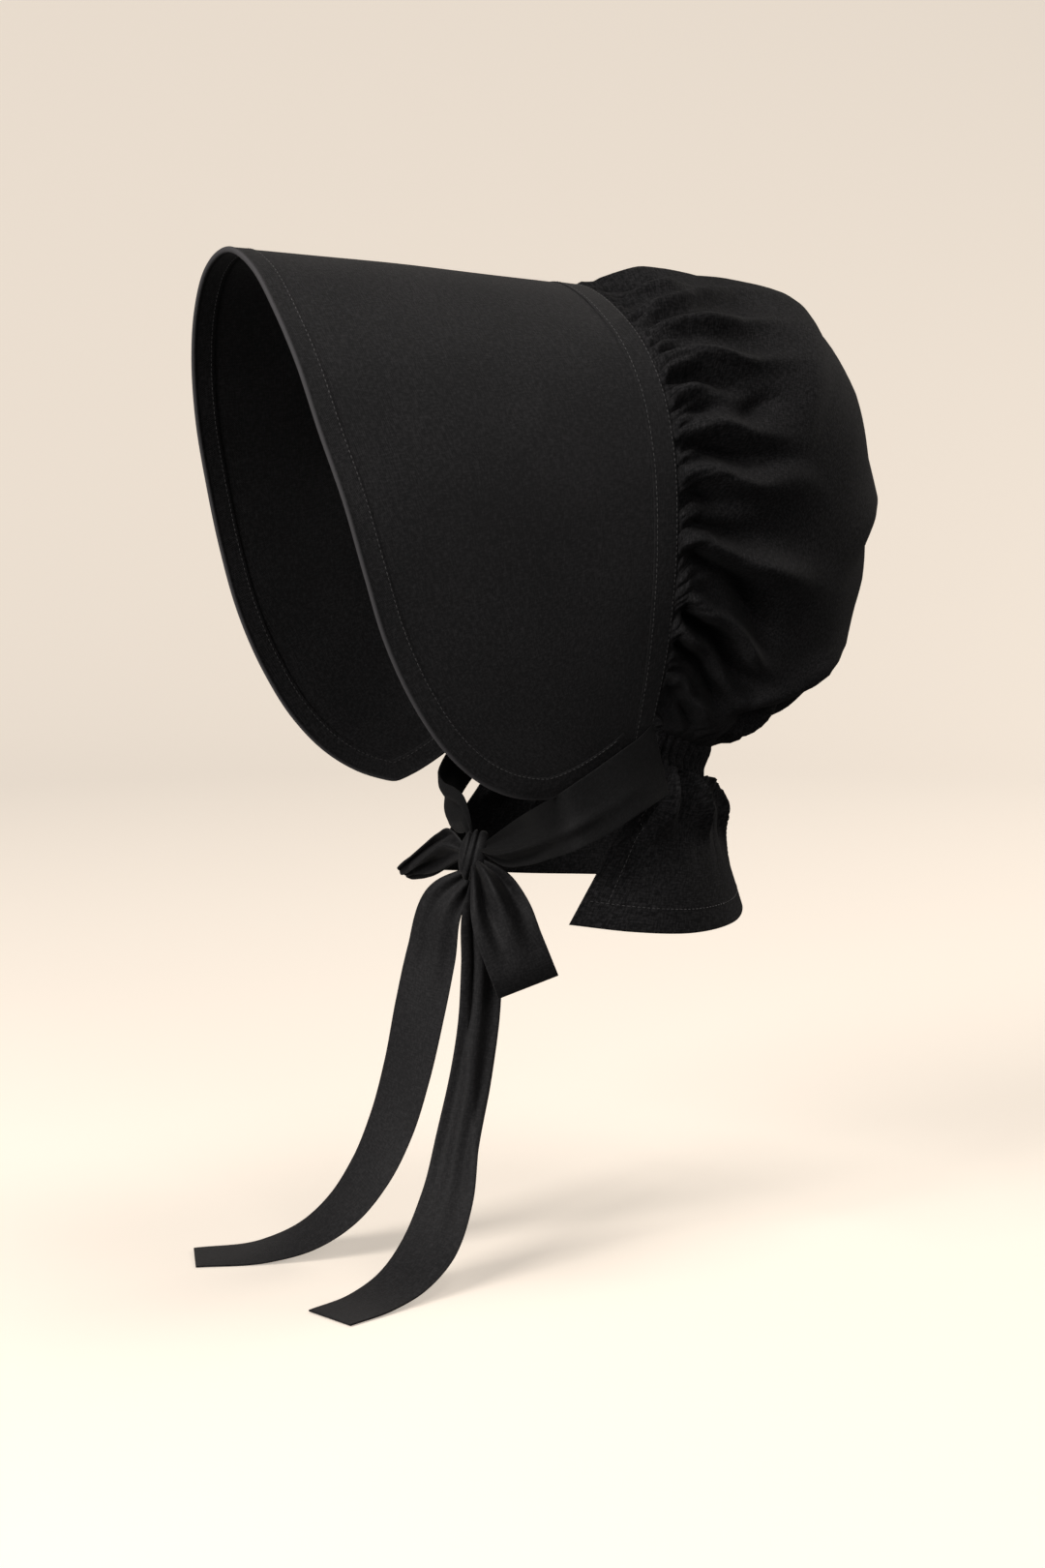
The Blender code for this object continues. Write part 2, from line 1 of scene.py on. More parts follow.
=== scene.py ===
"""Black pioneer bonnet: its cloth, gathers, stitching, ribbons and light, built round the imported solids.

Metres, +Z up, the face opening towards -Y, and +X is the wearer's left side.
"""

import math
import random
from collections import namedtuple

import bmesh
import bpy
import numpy as np
from mathutils import Matrix, Vector
from mathutils.bvhtree import BVHTree


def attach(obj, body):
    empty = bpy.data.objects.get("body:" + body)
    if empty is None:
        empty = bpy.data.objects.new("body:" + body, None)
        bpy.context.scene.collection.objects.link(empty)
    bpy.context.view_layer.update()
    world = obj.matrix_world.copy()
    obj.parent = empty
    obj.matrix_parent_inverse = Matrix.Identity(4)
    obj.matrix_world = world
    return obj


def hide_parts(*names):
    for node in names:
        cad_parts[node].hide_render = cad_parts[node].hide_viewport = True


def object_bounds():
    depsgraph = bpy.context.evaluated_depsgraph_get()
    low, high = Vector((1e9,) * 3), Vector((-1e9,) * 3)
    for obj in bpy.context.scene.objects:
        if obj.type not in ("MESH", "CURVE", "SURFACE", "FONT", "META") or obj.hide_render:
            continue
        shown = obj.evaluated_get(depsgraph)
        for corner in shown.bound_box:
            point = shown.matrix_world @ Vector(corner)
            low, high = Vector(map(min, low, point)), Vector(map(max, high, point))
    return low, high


bl_info = {
    "name": "Pioneer Bonnet",
    "version": (1, 0, 0),
    "blender": (4, 5, 0),
    "location": "View3D > Sidebar > Bonnet",
    "description": "Builds the cloth, stitching and ribbons of a black pioneer bonnet",
    "category": "Object",
}

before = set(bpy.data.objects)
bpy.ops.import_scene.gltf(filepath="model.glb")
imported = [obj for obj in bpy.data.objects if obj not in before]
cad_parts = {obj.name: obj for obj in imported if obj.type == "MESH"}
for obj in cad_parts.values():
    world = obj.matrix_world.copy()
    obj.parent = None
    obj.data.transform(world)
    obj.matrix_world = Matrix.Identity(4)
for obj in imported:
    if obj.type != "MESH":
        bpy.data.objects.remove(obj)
solid_low, solid_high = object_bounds()

CLOTH_MAP = "cloth"

# Brim. Half of its front edge from the top centre down to the lobe beside the chin, and half of
# the seam behind it. far_drop is how much lower the same point lies on the wearer's right side.
EdgePoint = namedtuple("EdgePoint", "half_width y z far_drop")
FRONT_EDGE = [
    EdgePoint(0.0000, -0.1810, 0.0200, 0.000),
    EdgePoint(0.0310, -0.1803, 0.0110, 0.000),
    EdgePoint(0.0530, -0.1778, -0.0090, 0.000),
    EdgePoint(0.0680, -0.1740, -0.0310, 0.000),
    EdgePoint(0.0800, -0.1680, -0.0620, 0.000),
    EdgePoint(0.0885, -0.1600, -0.0930, 0.000),
    EdgePoint(0.0925, -0.1520, -0.1250, 0.000),
    EdgePoint(0.0938, -0.1420, -0.1580, 0.001),
    EdgePoint(0.0945, -0.1280, -0.1870, 0.003),
    EdgePoint(0.0942, -0.1125, -0.2085, 0.006),
    EdgePoint(0.0930, -0.0950, -0.2235, 0.009),
    EdgePoint(0.0910, -0.0770, -0.2315, 0.012),
    EdgePoint(0.0880, -0.0600, -0.2340, 0.015),
]
SEAM = [
    EdgePoint(0.0000, 0.0000, 0.0040, 0.000),
    EdgePoint(0.0225, 0.0005, -0.0005, 0.000),
    EdgePoint(0.0430, 0.0020, -0.0100, 0.000),
    EdgePoint(0.0610, 0.0040, -0.0230, 0.000),
    EdgePoint(0.0760, 0.0062, -0.0430, 0.000),
    EdgePoint(0.0860, 0.0078, -0.0730, 0.000),
    EdgePoint(0.0895, 0.0080, -0.1100, 0.000),
    EdgePoint(0.0885, 0.0070, -0.1400, 0.000),
    EdgePoint(0.0852, 0.0050, -0.1700, 0.000),
    EdgePoint(0.0800, 0.0000, -0.2050, 0.000),
]
HEAD_MIDDLE = (0.0, -0.02, -0.12)
NECK_MIDDLE = (0.0, -0.01, -0.26)
BRIM_THICK = 0.0015
BRIM_FLAT = (0.56, 0.18)
BRIM_CAMBER = 0.0010
BRIM_RIPPLE = 0.00035
RIPPLE_WAVES = ((23, 4, 0), (9, 7, 1))
LOWER_EDGE_SAG = 0.0050
LOWER_EDGE_REACH = 0.12
BRIM_ROUND = 260
BRIM_DEEP = 70

# The strip folded over the brim's free edge, and the band in front of the crown's seam. Both lie
# STRIP_ROOM off the brim's cloth. The strip stops EDGE_END before the seam, and it is flat from
# its inner edge to RIM_START from the free edge, round which it turns in RIM_TURNS steps.
STRIP_FLAT = 0.028
STRIP_ROOM = 0.00002
STRIP_RIM = 0.00015
STRIP_STOPS = 7
EDGE_END = 0.0131
RIM_START = 0.0007
RIM_TURNS = 9
RIM_ROLL = 0.00030
BAND_OVERLAP = 0.0012
BAND_LONG = 0.51
# Rows of stitches: on the strip by the side of the brim and the distance from the strip's inner
# edge, on the band by their share of its depth. A stitch's half length and how far ahead its
# direction is taken are shares of the step.
STRIP_STITCHES = ((1, 0.0008), (-1, 0.0016))
BAND_STITCHES = (0.13, 0.94)
STITCH_HALF = 0.36
STITCH_LOOK = 0.3
NUDGE = 1e-4

# Crown. Each section is an arch that swings about the line between the two lower ends of the
# seam, from the seam (0 degrees) up over the back and down to the neck.
HINGE_Y = 0.0
HINGE_Z = -0.205
CORNER_RADIUS = 0.0065
CORNER_DEPTH = 0.06
SWELL_SHARPNESS = 12
SEAM_ALLOWANCE = 0.0008
CrownSection = namedtuple("CrownSection", "degrees reach swell roundness")
CROWN_SECTIONS = [
    CrownSection(0.0, 0.2090, 0.0000, 0.00),
    CrownSection(1.0, 0.2096, 0.0003, 0.01),
    CrownSection(3.5, 0.2140, 0.0035, 0.03),
    CrownSection(8.0, 0.2185, 0.0075, 0.08),
    CrownSection(14.0, 0.2215, 0.0105, 0.15),
    CrownSection(22.0, 0.2280, 0.0130, 0.25),
    CrownSection(31.0, 0.2320, 0.0140, 0.36),
    CrownSection(41.0, 0.2180, 0.0140, 0.50),
    CrownSection(51.0, 0.1990, 0.0135, 0.60),
    CrownSection(61.0, 0.1830, 0.0125, 0.68),
    CrownSection(71.0, 0.1640, 0.0115, 0.74),
    CrownSection(81.0, 0.1410, 0.0105, 0.80),
    CrownSection(90.0, 0.1160, 0.0090, 0.86),
    CrownSection(99.0, 0.0890, 0.0060, 0.93),
    CrownSection(107.5, 0.0665, 0.0000, 1.00),
]
CROWN_TURN = math.radians(CROWN_SECTIONS[-1].degrees)
CROWN_THICK = 0.0009
CROWN_FLAT = (0.58, 0.38)
CROWN_ROUND = 520
CROWN_DEEP = 92
CROWN_ROW_SPREAD = 1.6
SHORTEST_ARM = 0.03
CORNER_ROOM = 0.045

# Folds of the crown. The path runs from the seam over shares round and deep. height is that of
# the ridge, or of the hollow where it is negative, and the widths are its half widths at the
# start and at the end.
Fold = namedtuple("Fold", "path height start_width end_width")
SIDE_FOLDS = [
    Fold([(0.438, 0.03), (0.445, 0.05), (0.448, 0.08), (0.455, 0.11), (0.468, 0.14)], 0.0024, 0.004, 0.006),
    Fold([(0.403, 0.01), (0.402, 0.06), (0.420, 0.12), (0.438, 0.17), (0.463, 0.27)], 0.0036, 0.004, 0.0075),
    Fold([(0.385, 0.00), (0.388, 0.02), (0.393, 0.03), (0.398, 0.05)], 0.0028, 0.003, 0.003),
    Fold([(0.375, 0.00), (0.370, 0.05), (0.370, 0.11), (0.375, 0.16), (0.388, 0.25)], 0.0036, 0.003, 0.0067),
    Fold([(0.350, 0.00), (0.352, 0.02), (0.356, 0.03), (0.360, 0.05)], 0.0028, 0.003, 0.003),
    Fold([(0.345, 0.00), (0.335, 0.05), (0.328, 0.10), (0.325, 0.17), (0.345, 0.28)], 0.0038, 0.003, 0.0067),
    Fold([(0.325, 0.00), (0.330, 0.02), (0.326, 0.04), (0.324, 0.07)], 0.0032, 0.003, 0.0037),
    Fold([(0.318, 0.02), (0.310, 0.07), (0.302, 0.11), (0.297, 0.17)], -0.0034, 0.004, 0.006),
    Fold([(0.305, 0.00), (0.303, 0.03), (0.302, 0.05), (0.302, 0.07)], 0.0026, 0.004, 0.0045),
    Fold([(0.280, 0.04), (0.280, 0.06), (0.280, 0.08), (0.283, 0.11)], -0.0026, 0.004, 0.0045),
    Fold([(0.270, 0.13), (0.280, 0.17), (0.288, 0.19), (0.295, 0.22)], -0.0028, 0.007, 0.006),
    Fold([(0.285, 0.00), (0.280, 0.02), (0.276, 0.04), (0.272, 0.06)], 0.0024, 0.003, 0.004),
    Fold([(0.273, 0.00), (0.270, 0.02), (0.263, 0.03), (0.250, 0.06)], 0.0026, 0.003, 0.004),
    Fold([(0.263, 0.03), (0.262, 0.08), (0.258, 0.12), (0.250, 0.18), (0.255, 0.30)], 0.0036, 0.004, 0.011),
    Fold([(0.261, 0.01), (0.249, 0.04), (0.240, 0.09), (0.232, 0.20), (0.250, 0.36)], -0.0042, 0.003, 0.010),
    Fold([(0.250, 0.00), (0.247, 0.02), (0.244, 0.04), (0.238, 0.06)], 0.0026, 0.003, 0.004),
    Fold([(0.242, 0.00), (0.236, 0.03), (0.231, 0.06), (0.226, 0.09)], -0.0026, 0.003, 0.005),
    Fold([(0.235, 0.00), (0.226, 0.05), (0.212, 0.12), (0.208, 0.22), (0.255, 0.42)], 0.0042, 0.004, 0.013),
    Fold([(0.212, 0.00), (0.203, 0.04), (0.192, 0.11), (0.184, 0.25)], -0.0036, 0.004, 0.009),
    Fold([(0.198, 0.00), (0.188, 0.04), (0.177, 0.09), (0.174, 0.15)], 0.0024, 0.004, 0.006),
    Fold([(0.186, 0.01), (0.170, 0.09), (0.160, 0.20), (0.166, 0.33)], -0.0034, 0.003, 0.009),
    Fold([(0.175, 0.00), (0.155, 0.09), (0.137, 0.27), (0.170, 0.43), (0.240, 0.56)], 0.0048, 0.004, 0.013),
    Fold([(0.155, 0.01), (0.134, 0.15), (0.118, 0.33), (0.126, 0.48), (0.142, 0.56)], -0.0052, 0.004, 0.012),
    Fold([(0.140, 0.00), (0.131, 0.03), (0.122, 0.06), (0.108, 0.12)], 0.0024, 0.003, 0.003),
    Fold([(0.120, 0.00), (0.090, 0.23), (0.093, 0.44), (0.113, 0.60), (0.165, 0.69)], 0.0052, 0.004, 0.009),
    Fold([(0.100, 0.02), (0.077, 0.20), (0.076, 0.36), (0.088, 0.57), (0.135, 0.73)], -0.0052, 0.003, 0.008),
    Fold([(0.090, 0.00), (0.062, 0.22), (0.062, 0.44), (0.078, 0.63), (0.140, 0.86)], 0.0052, 0.003, 0.006),
    Fold([(0.068, 0.03), (0.055, 0.22), (0.055, 0.44), (0.068, 0.66), (0.105, 0.84)], -0.0046, 0.003, 0.006),
    Fold([(0.032, 0.08), (0.030, 0.28), (0.031, 0.55), (0.066, 0.81), (0.140, 0.93)], 0.0042, 0.003, 0.006),
    Fold([(0.020, 0.40), (0.030, 0.70), (0.060, 0.89), (0.145, 0.97)], -0.0036, 0.002, 0.005),
    Fold([(0.103, 0.74), (0.150, 0.76), (0.217, 0.73), (0.300, 0.70), (0.360, 0.68)], 0.0040, 0.006, 0.010),
    Fold([(0.125, 0.83), (0.190, 0.82), (0.240, 0.79), (0.310, 0.76), (0.370, 0.75)], -0.0056, 0.008, 0.011),
]
BACK_FOLDS = [
    Fold([(0.500, 0.01), (0.503, 0.07), (0.508, 0.15), (0.505, 0.30)], 0.0020, 0.005, 0.012),
    Fold([(0.482, 0.01), (0.478, 0.05), (0.476, 0.09), (0.470, 0.16)], -0.0022, 0.004, 0.008),
    Fold([(0.205, 0.99), (0.215, 0.93), (0.235, 0.84), (0.245, 0.70)], 0.0034, 0.004, 0.010),
    Fold([(0.265, 0.99), (0.275, 0.94), (0.290, 0.86), (0.285, 0.72)], -0.0034, 0.004, 0.011),
    Fold([(0.320, 0.99), (0.330, 0.93), (0.345, 0.82), (0.340, 0.64)], 0.0040, 0.004, 0.013),
    Fold([(0.370, 0.99), (0.378, 0.94), (0.390, 0.86), (0.395, 0.74)], -0.0032, 0.004, 0.011),
    Fold([(0.420, 0.99), (0.428, 0.93), (0.440, 0.83), (0.432, 0.66)], 0.0038, 0.004, 0.012),
    Fold([(0.472, 0.99), (0.476, 0.94), (0.480, 0.85), (0.492, 0.70)], -0.0034, 0.004, 0.012),
    Fold([(0.520, 0.99), (0.522, 0.93), (0.530, 0.83), (0.520, 0.62)], 0.0040, 0.004, 0.014),
    Fold([(0.575, 0.99), (0.572, 0.94), (0.570, 0.86), (0.580, 0.72)], -0.0032, 0.004, 0.011),
    Fold([(0.625, 0.99), (0.622, 0.93), (0.615, 0.84), (0.625, 0.68)], 0.0038, 0.004, 0.012),
    Fold([(0.685, 0.99), (0.680, 0.94), (0.672, 0.86), (0.680, 0.74)], -0.0032, 0.004, 0.010),
    Fold([(0.740, 0.99), (0.733, 0.93), (0.722, 0.85), (0.728, 0.70)], 0.0036, 0.004, 0.011),
]
# FAR_SIDE_SHIFT tells the mirrored folds from those of the near side. The rest is the shape across
# a fold, where it begins and ends along its path, and where the two seams catch it flat: by the
# distance from the brim's seam, and by the share of the depth at the casing.
FAR_SIDE_SHIFT = 0.010
FOLD_STEPS = 40
RIDGE_SHARPNESS = 1.35
VALLEY_SHARPNESS = 1.3
FLANK_DEPTH = 0.42
FLANK_REACH = 2.1
FOLD_AT_SEAM = 0.35
FOLD_RISE = 0.16
FOLD_FALL = 0.55
FOLD_FREE = (-0.001, 0.006)
FOLD_TO_CASING = (0.93, 0.985)
SMOOTH_PASSES = 3

# How far the crown stands out or falls in against its smooth shape, and the shares round the
# crown over which that begins and ends. The profiles of the back and the underside go by the
# share of the depth, and that of the top by the distance from the seam.
Shape = namedtuple("Shape", "profile begins ends")
BACK_SHAPE = Shape(
    [
        (0.000, 0.0), (0.090, 0.0010), (0.165, -0.0018), (0.215, 0.0010), (0.270, 0.0036), (0.305, -0.0006),
        (0.375, 0.0022), (0.450, 0.0008), (0.510, 0.0030), (0.560, -0.0048), (0.615, -0.0042), (0.700, -0.0055),
        (0.835, -0.0098), (0.915, -0.0090), (0.970, 0.0), (1.000, 0.0),
    ],
    (0.22, 0.34), (0.52, 0.72),
)
UNDER_SHAPE = Shape(
    [(0.70, 0.0), (0.80, -0.0035), (0.87, -0.0075), (0.93, -0.0100), (0.97, -0.0070), (1.00, 0.0)],
    (0.13, 0.22), (0.30, 0.42),
)
TOP_SHAPE = Shape(
    [
        (0.0, 0.0), (0.004, -0.0034), (0.010, -0.0064), (0.016, -0.0064), (0.030, -0.0043), (0.050, -0.0010),
        (0.062, 0.0),
    ],
    (0.36, 0.46), (0.64, 0.74),
)

# The small gathers at the brim's seam. Heights and lengths are each a least value and the random
# part on top of it. Each GROUP_OF of them also stand together as one wider ridge.
GATHER_SEED = 11
GATHER_UNEVEN = 0.55
GATHER_ROUNDNESS = 0.75
GATHER_AT_SEAM = 0.10
GATHER_RISE = 0.004
GATHER_FALL = (0.25, 1.0)
GATHER_LEVEL = (0.002, 0.012)
GATHER_HEIGHTS = (0.55, 0.65)
GATHER_LENGTHS = (0.009, 0.024)
DRIFT = 0.004
DRIFT_TURNS = 40
DRIFT_REACH = 0.03
GROUP_OF = 3
GROUP_SHARE = 0.20
GROUP_RISE = (0.005, 0.016)
GROUP_FALL = (0.020, 0.060)

# The drawn-in neck edge: the casing's pleats run on into the crown above and the curtain below.
NECK_PLEATS = 46
NECK_PLEAT_SEED = 5
NECK_PLEAT_UNEVEN = 0.60
NECK_GATHER_RISE = (0.80, 0.97)
NECK_GATHER_SHARE = 0.7
CASING_TALL = 0.0160
CASING_TOP_DROP = 0.0009
CASING_DRAWN = 0.0022
CASING_WAIST = 0.0036
WAIST_DEPTH = 0.75
CASING_THICK = 0.0008
CASING_FLAT = (0.34, 0.016)
CASING_ROUND = 460
CASING_DEEP = 16
CASING_SLANT = 0.006
CASING_PLEAT_SHARE = 0.75
# The crown's last rows turn down behind the top of the casing, as its raw edge is sewn in there.
TUCK_START = 0.972
TUCK_DEPTH = 0.12
TUCK_BEHIND = 0.0009

HemPoint = namedtuple("HemPoint", "x y z")
CURTAIN_HEM = [
    HemPoint(0.0000, 0.0820, -0.3010),
    HemPoint(0.0430, 0.0730, -0.3030),
    HemPoint(0.0760, 0.0490, -0.3055),
    HemPoint(0.0920, 0.0170, -0.3050),
    HemPoint(0.0930, -0.0150, -0.3015),
    HemPoint(0.0840, -0.0450, -0.2970),
]
CURTAIN_THICK = 0.0009
# The curtain's fine pleats and wide waves rise and fall over shares of its depth. Both begin
# beyond CURTAIN_FRONT, a share of the way round, so that its front ends hang flat.
CURTAIN_FLAT = (0.30, 0.070)
CURTAIN_FLARE = 0.0008
CURTAIN_OVERLAP = 0.0006
CURTAIN_BEHIND = 0.0004
CURTAIN_PUFF = 0.0034
PUFF_MIDDLE = 0.2
PUFF_REACH = 0.13
CURTAIN_ROUND = 420
CURTAIN_DEEP = 60
CURTAIN_FRONT = (0.02, 0.10)
CURTAIN_PLEAT = 0.0016
CURTAIN_PLEAT_FALL = (0.03, 0.24)
CURTAIN_WAVES = 17
CURTAIN_WAVE_SEED = 8
CURTAIN_WAVE_UNEVEN = 0.35
CURTAIN_WAVE = 0.0018
CURTAIN_WAVE_HEIGHTS = (0.3, 0.9)
CURTAIN_WAVE_RISE = (0.0, 0.2)
CURTAIN_WAVE_FALL = (0.3, 0.8)
CURTAIN_FOLDS = [
    Fold([(0.130, 0.00), (0.155, 0.12), (0.188, 0.27), (0.228, 0.48)], 0.0034, 0.0028, 0.0045),
    Fold([(0.245, 0.00), (0.300, 0.10), (0.318, 0.30), (0.352, 0.74)], 0.0032, 0.0030, 0.0060),
    Fold([(0.212, 0.02), (0.205, 0.14), (0.210, 0.22), (0.226, 0.42)], -0.0038, 0.0030, 0.0050),
    Fold([(0.060, 0.02), (0.068, 0.15), (0.072, 0.30), (0.060, 0.54)], 0.0030, 0.0030, 0.0060),
    Fold([(0.056, 0.05), (0.046, 0.21), (0.037, 0.38), (0.030, 0.55)], -0.0026, 0.0030, 0.0060),
    Fold([(0.095, 0.00), (0.096, 0.10), (0.128, 0.28), (0.152, 0.48)], -0.0032, 0.0030, 0.0070),
    Fold([(0.380, 0.00), (0.385, 0.15), (0.400, 0.35), (0.410, 0.70)], -0.0030, 0.0030, 0.0070),
    Fold([(0.430, 0.00), (0.440, 0.20), (0.452, 0.45), (0.465, 0.90)], 0.0036, 0.0030, 0.0080),
    Fold([(0.505, 0.00), (0.510, 0.20), (0.520, 0.40), (0.525, 0.75)], -0.0032, 0.0030, 0.0070),
    Fold([(0.560, 0.00), (0.572, 0.20), (0.580, 0.45), (0.600, 0.85)], 0.0036, 0.0030, 0.0080),
    Fold([(0.640, 0.00), (0.650, 0.15), (0.660, 0.35), (0.655, 0.70)], -0.0032, 0.0030, 0.0070),
]
FRONT_CURTAIN_FOLDS = 6
CURTAIN_FOLD_SCALE = 1.8
CURTAIN_FAR_SHIFT = 0.008
HEM_WIDE = 0.0105
FRONT_HEM_WIDE = 0.0110

# Ribbons. facing is the compass direction that the face looks to, from the front (0) round to
# the wearer's left (90), and tilt is how far the face looks up, both in degrees.
RIBBON_WIDE = 0.030
RIBBON_THICK = 0.0008
RIBBON_ACROSS = 28
RIBBON_STEP = 0.0016
LOOK_AHEAD = 0.01
Station = namedtuple("Station", "x y z width facing tilt bow")
KNOT_CENTRE = (0.0017, -0.0557, -0.2755)
KNOT_RADII = (0.0082, 0.0070, 0.0124)
KNOT_TUCK = 0.0012
KNOT_TURN = 64
# A crease's place along the knot, from -1 to 1, its height, and its half width.
KNOT_CREASES = [
    (-0.74, 0.05, 0.14), (-0.52, -0.10, 0.09), (-0.30, 0.05, 0.14), (-0.10, -0.10, 0.07), (0.45, 0.06, 0.40),
]
KNOT_BOXINESS = 3.0
KNOT_LEAN = 0.22
KNOT_SKEW = 0.16
KNOT_FLAT = 0.010


def knot_side(x, y, z):
    """Where a ribbon that comes out of the knot in this direction starts, tucked just inside it."""
    direction = Vector((x, y, z)).normalized()
    scaled = Vector(part / radius for part, radius in zip(direction, KNOT_RADII))
    return tuple(Vector(KNOT_CENTRE) + direction * (1 / scaled.length - KNOT_TUCK))


Row = namedtuple("Row", "upper lower pleat")
NEAR_TIE = [
    Row((0.0808, 0.0015, -0.2035), (0.0875, 0.0066, -0.2369), 0.0000),
    Row((0.0858, -0.0079, -0.2086), (0.0927, -0.0020, -0.2393), 0.0000),
    Row((0.0920, -0.0225, -0.2144), (0.0980, -0.0157, -0.2440), 0.0002),
    Row((0.0941, -0.0379, -0.2224), (0.0985, -0.0315, -0.2521), 0.0003),
    Row((0.0931, -0.0511, -0.2300), (0.0971, -0.0454, -0.2579), 0.0008),
    Row((0.0706, -0.0548, -0.2408), (0.0741, -0.0492, -0.2661), 0.0018),
    Row((0.0448, -0.0531, -0.2507), (0.0481, -0.0495, -0.2736), 0.0036),
    Row((0.0261, -0.0529, -0.2592), (0.0293, -0.0525, -0.2770), 0.0040),
    Row((0.0078, -0.0540, -0.2686), (0.0086, -0.0545, -0.2738), 0.0018),
]
NEAR_TIE_PLEATS = [(0.0, 0.0), (0.30, 0.7), (0.52, 0.2), (0.64, -1.3), (0.80, 0.5), (1.0, 0.0)]
FAR_TIE = [
    Row((-0.0812, 0.0015, -0.2045), (-0.0875, 0.0066, -0.2369), 0.0000),
    Row((-0.0868, -0.0079, -0.2120), (-0.0930, -0.0020, -0.2425), 0.0000),
    Row((-0.0902, -0.0185, -0.2230), (-0.0955, -0.0115, -0.2520), 0.0002),
    Row((-0.0895, -0.0285, -0.2360), (-0.0935, -0.0215, -0.2640), 0.0003),
    Row((-0.0825, -0.0370, -0.2445), (-0.0850, -0.0300, -0.2715), 0.0008),
    Row((-0.0660, -0.0425, -0.2480), (-0.0670, -0.0350, -0.2745), 0.0018),
    Row((-0.0440, -0.0455, -0.2485), (-0.0440, -0.0410, -0.2720), 0.0030),
    Row((-0.0240, -0.0490, -0.2515), (-0.0190, -0.0500, -0.2662), 0.0030),
    Row((-0.0100, -0.0525, -0.2590), (-0.0060, -0.0560, -0.2673), 0.0014),
    Row((-0.0025, -0.0550, -0.2665), (0.0010, -0.0580, -0.2700), 0.0005),
]
FAR_TIE_PLEATS = [(0.0, 0.0), (0.22, 0.8), (0.45, -0.9), (0.72, 0.8), (1.0, 0.0)]
NEAR_LOOP = [
    Row((0.0058, -0.0594, -0.2800), (0.0054, -0.0544, -0.2760), 0.0006),
    Row((0.0108, -0.0614, -0.2822), (0.0104, -0.0540, -0.2768), 0.0016),
    Row((0.0144, -0.0635, -0.2875), (0.0170, -0.0505, -0.2790), 0.0030),
    Row((0.0192, -0.0663, -0.2972), (0.0223, -0.0459, -0.2833), 0.0042),
    Row((0.0231, -0.0668, -0.3085), (0.0292, -0.0402, -0.2942), 0.0028),
    Row((0.0285, -0.0634, -0.3243), (0.0346, -0.0349, -0.3112), 0.0008),
    Row((0.0308, -0.0592, -0.3365), (0.0369, -0.0294, -0.3264), 0.0000),
    Row((0.0283, -0.0557, -0.3428), (0.0345, -0.0258, -0.3327), 0.0000),
    Row((0.0215, -0.0545, -0.3387), (0.0270, -0.0257, -0.3276), 0.0000),
    Row((0.0148, -0.0556, -0.3203), (0.0180, -0.0320, -0.3046), -0.0005),
    Row((0.0083, -0.0562, -0.2969), (0.0097, -0.0430, -0.2870), -0.0015),
    Row((0.0037, -0.0570, -0.2836), (0.0034, -0.0526, -0.2797), -0.0006),
]
NEAR_LOOP_PLEATS = [(0.0, -0.2), (0.13, -0.6), (0.31, 0.9), (0.56, -1.2), (0.82, 1.0), (1.0, 0.0)]
FAR_LOOP = [
    Row((-0.0028, -0.0595, -0.2705), (-0.0029, -0.0610, -0.2770), 0.0008),
    Row((-0.0127, -0.0628, -0.2641), (-0.0117, -0.0617, -0.2810), 0.0032),
    Row((-0.0224, -0.0653, -0.2675), (-0.0255, -0.0621, -0.2866), 0.0042),
    Row((-0.0329, -0.0686, -0.2750), (-0.0400, -0.0630, -0.2906), 0.0036),
    Row((-0.0432, -0.0716, -0.2826), (-0.0531, -0.0629, -0.2929), 0.0026),
    Row((-0.0511, -0.0735, -0.2880), (-0.0632, -0.0615, -0.2949), 0.0018),
    Row((-0.0551, -0.0731, -0.2899), (-0.0685, -0.0617, -0.2972), 0.0010),
    Row((-0.0582, -0.0704, -0.2906), (-0.0712, -0.0584, -0.2987), -0.0010),
    Row((-0.0542, -0.0657, -0.2871), (-0.0645, -0.0557, -0.2976), -0.0020),
    Row((-0.0444, -0.0619, -0.2808), (-0.0531, -0.0544, -0.2947), -0.0028),
    Row((-0.0319, -0.0594, -0.2741), (-0.0389, -0.0533, -0.2888), -0.0032),
    Row((-0.0163, -0.0575, -0.2703), (-0.0207, -0.0542, -0.2818), -0.0028),
    Row((-0.0030, -0.0570, -0.2719), (-0.0025, -0.0583, -0.2776), -0.0008),
]
FAR_LOOP_PLEATS = [(0.0, 0.0), (0.17, 1.0), (0.42, -1.1), (0.68, 0.8), (1.0, -0.2)]
FRONT_TAIL = [
    Station(*knot_side(-0.35, -0.1, -1.0), 0.0085, 78, 0, 0.0005),
    Station(-0.0090, -0.0680, -0.3000, 0.0230, 40, 10, 0.0010),
    Station(-0.0160, -0.0720, -0.3280, 0.0280, 36, 4, 0.0010),
    Station(-0.0200, -0.0765, -0.3560, 0.0300, 32, 4, 0.0010),
    Station(-0.0240, -0.0820, -0.3880, 0.0300, 28, 6, 0.0010),
    Station(-0.0280, -0.0890, -0.4160, 0.0300, 26, 14, 0.0010),
    Station(-0.0320, -0.0990, -0.4400, 0.0300, 24, 30, 0.0010),
    Station(-0.0360, -0.1130, -0.4595, 0.0300, 22, 48, 0.0010),
    Station(-0.0410, -0.1300, -0.4725, 0.0300, 20, 66, 0.0008),
    Station(-0.0470, -0.1510, -0.4795, 0.0300, 18, 80, 0.0005),
    Station(-0.0580, -0.1850, -0.4815, 0.0300, 14, 88, 0.0),
]
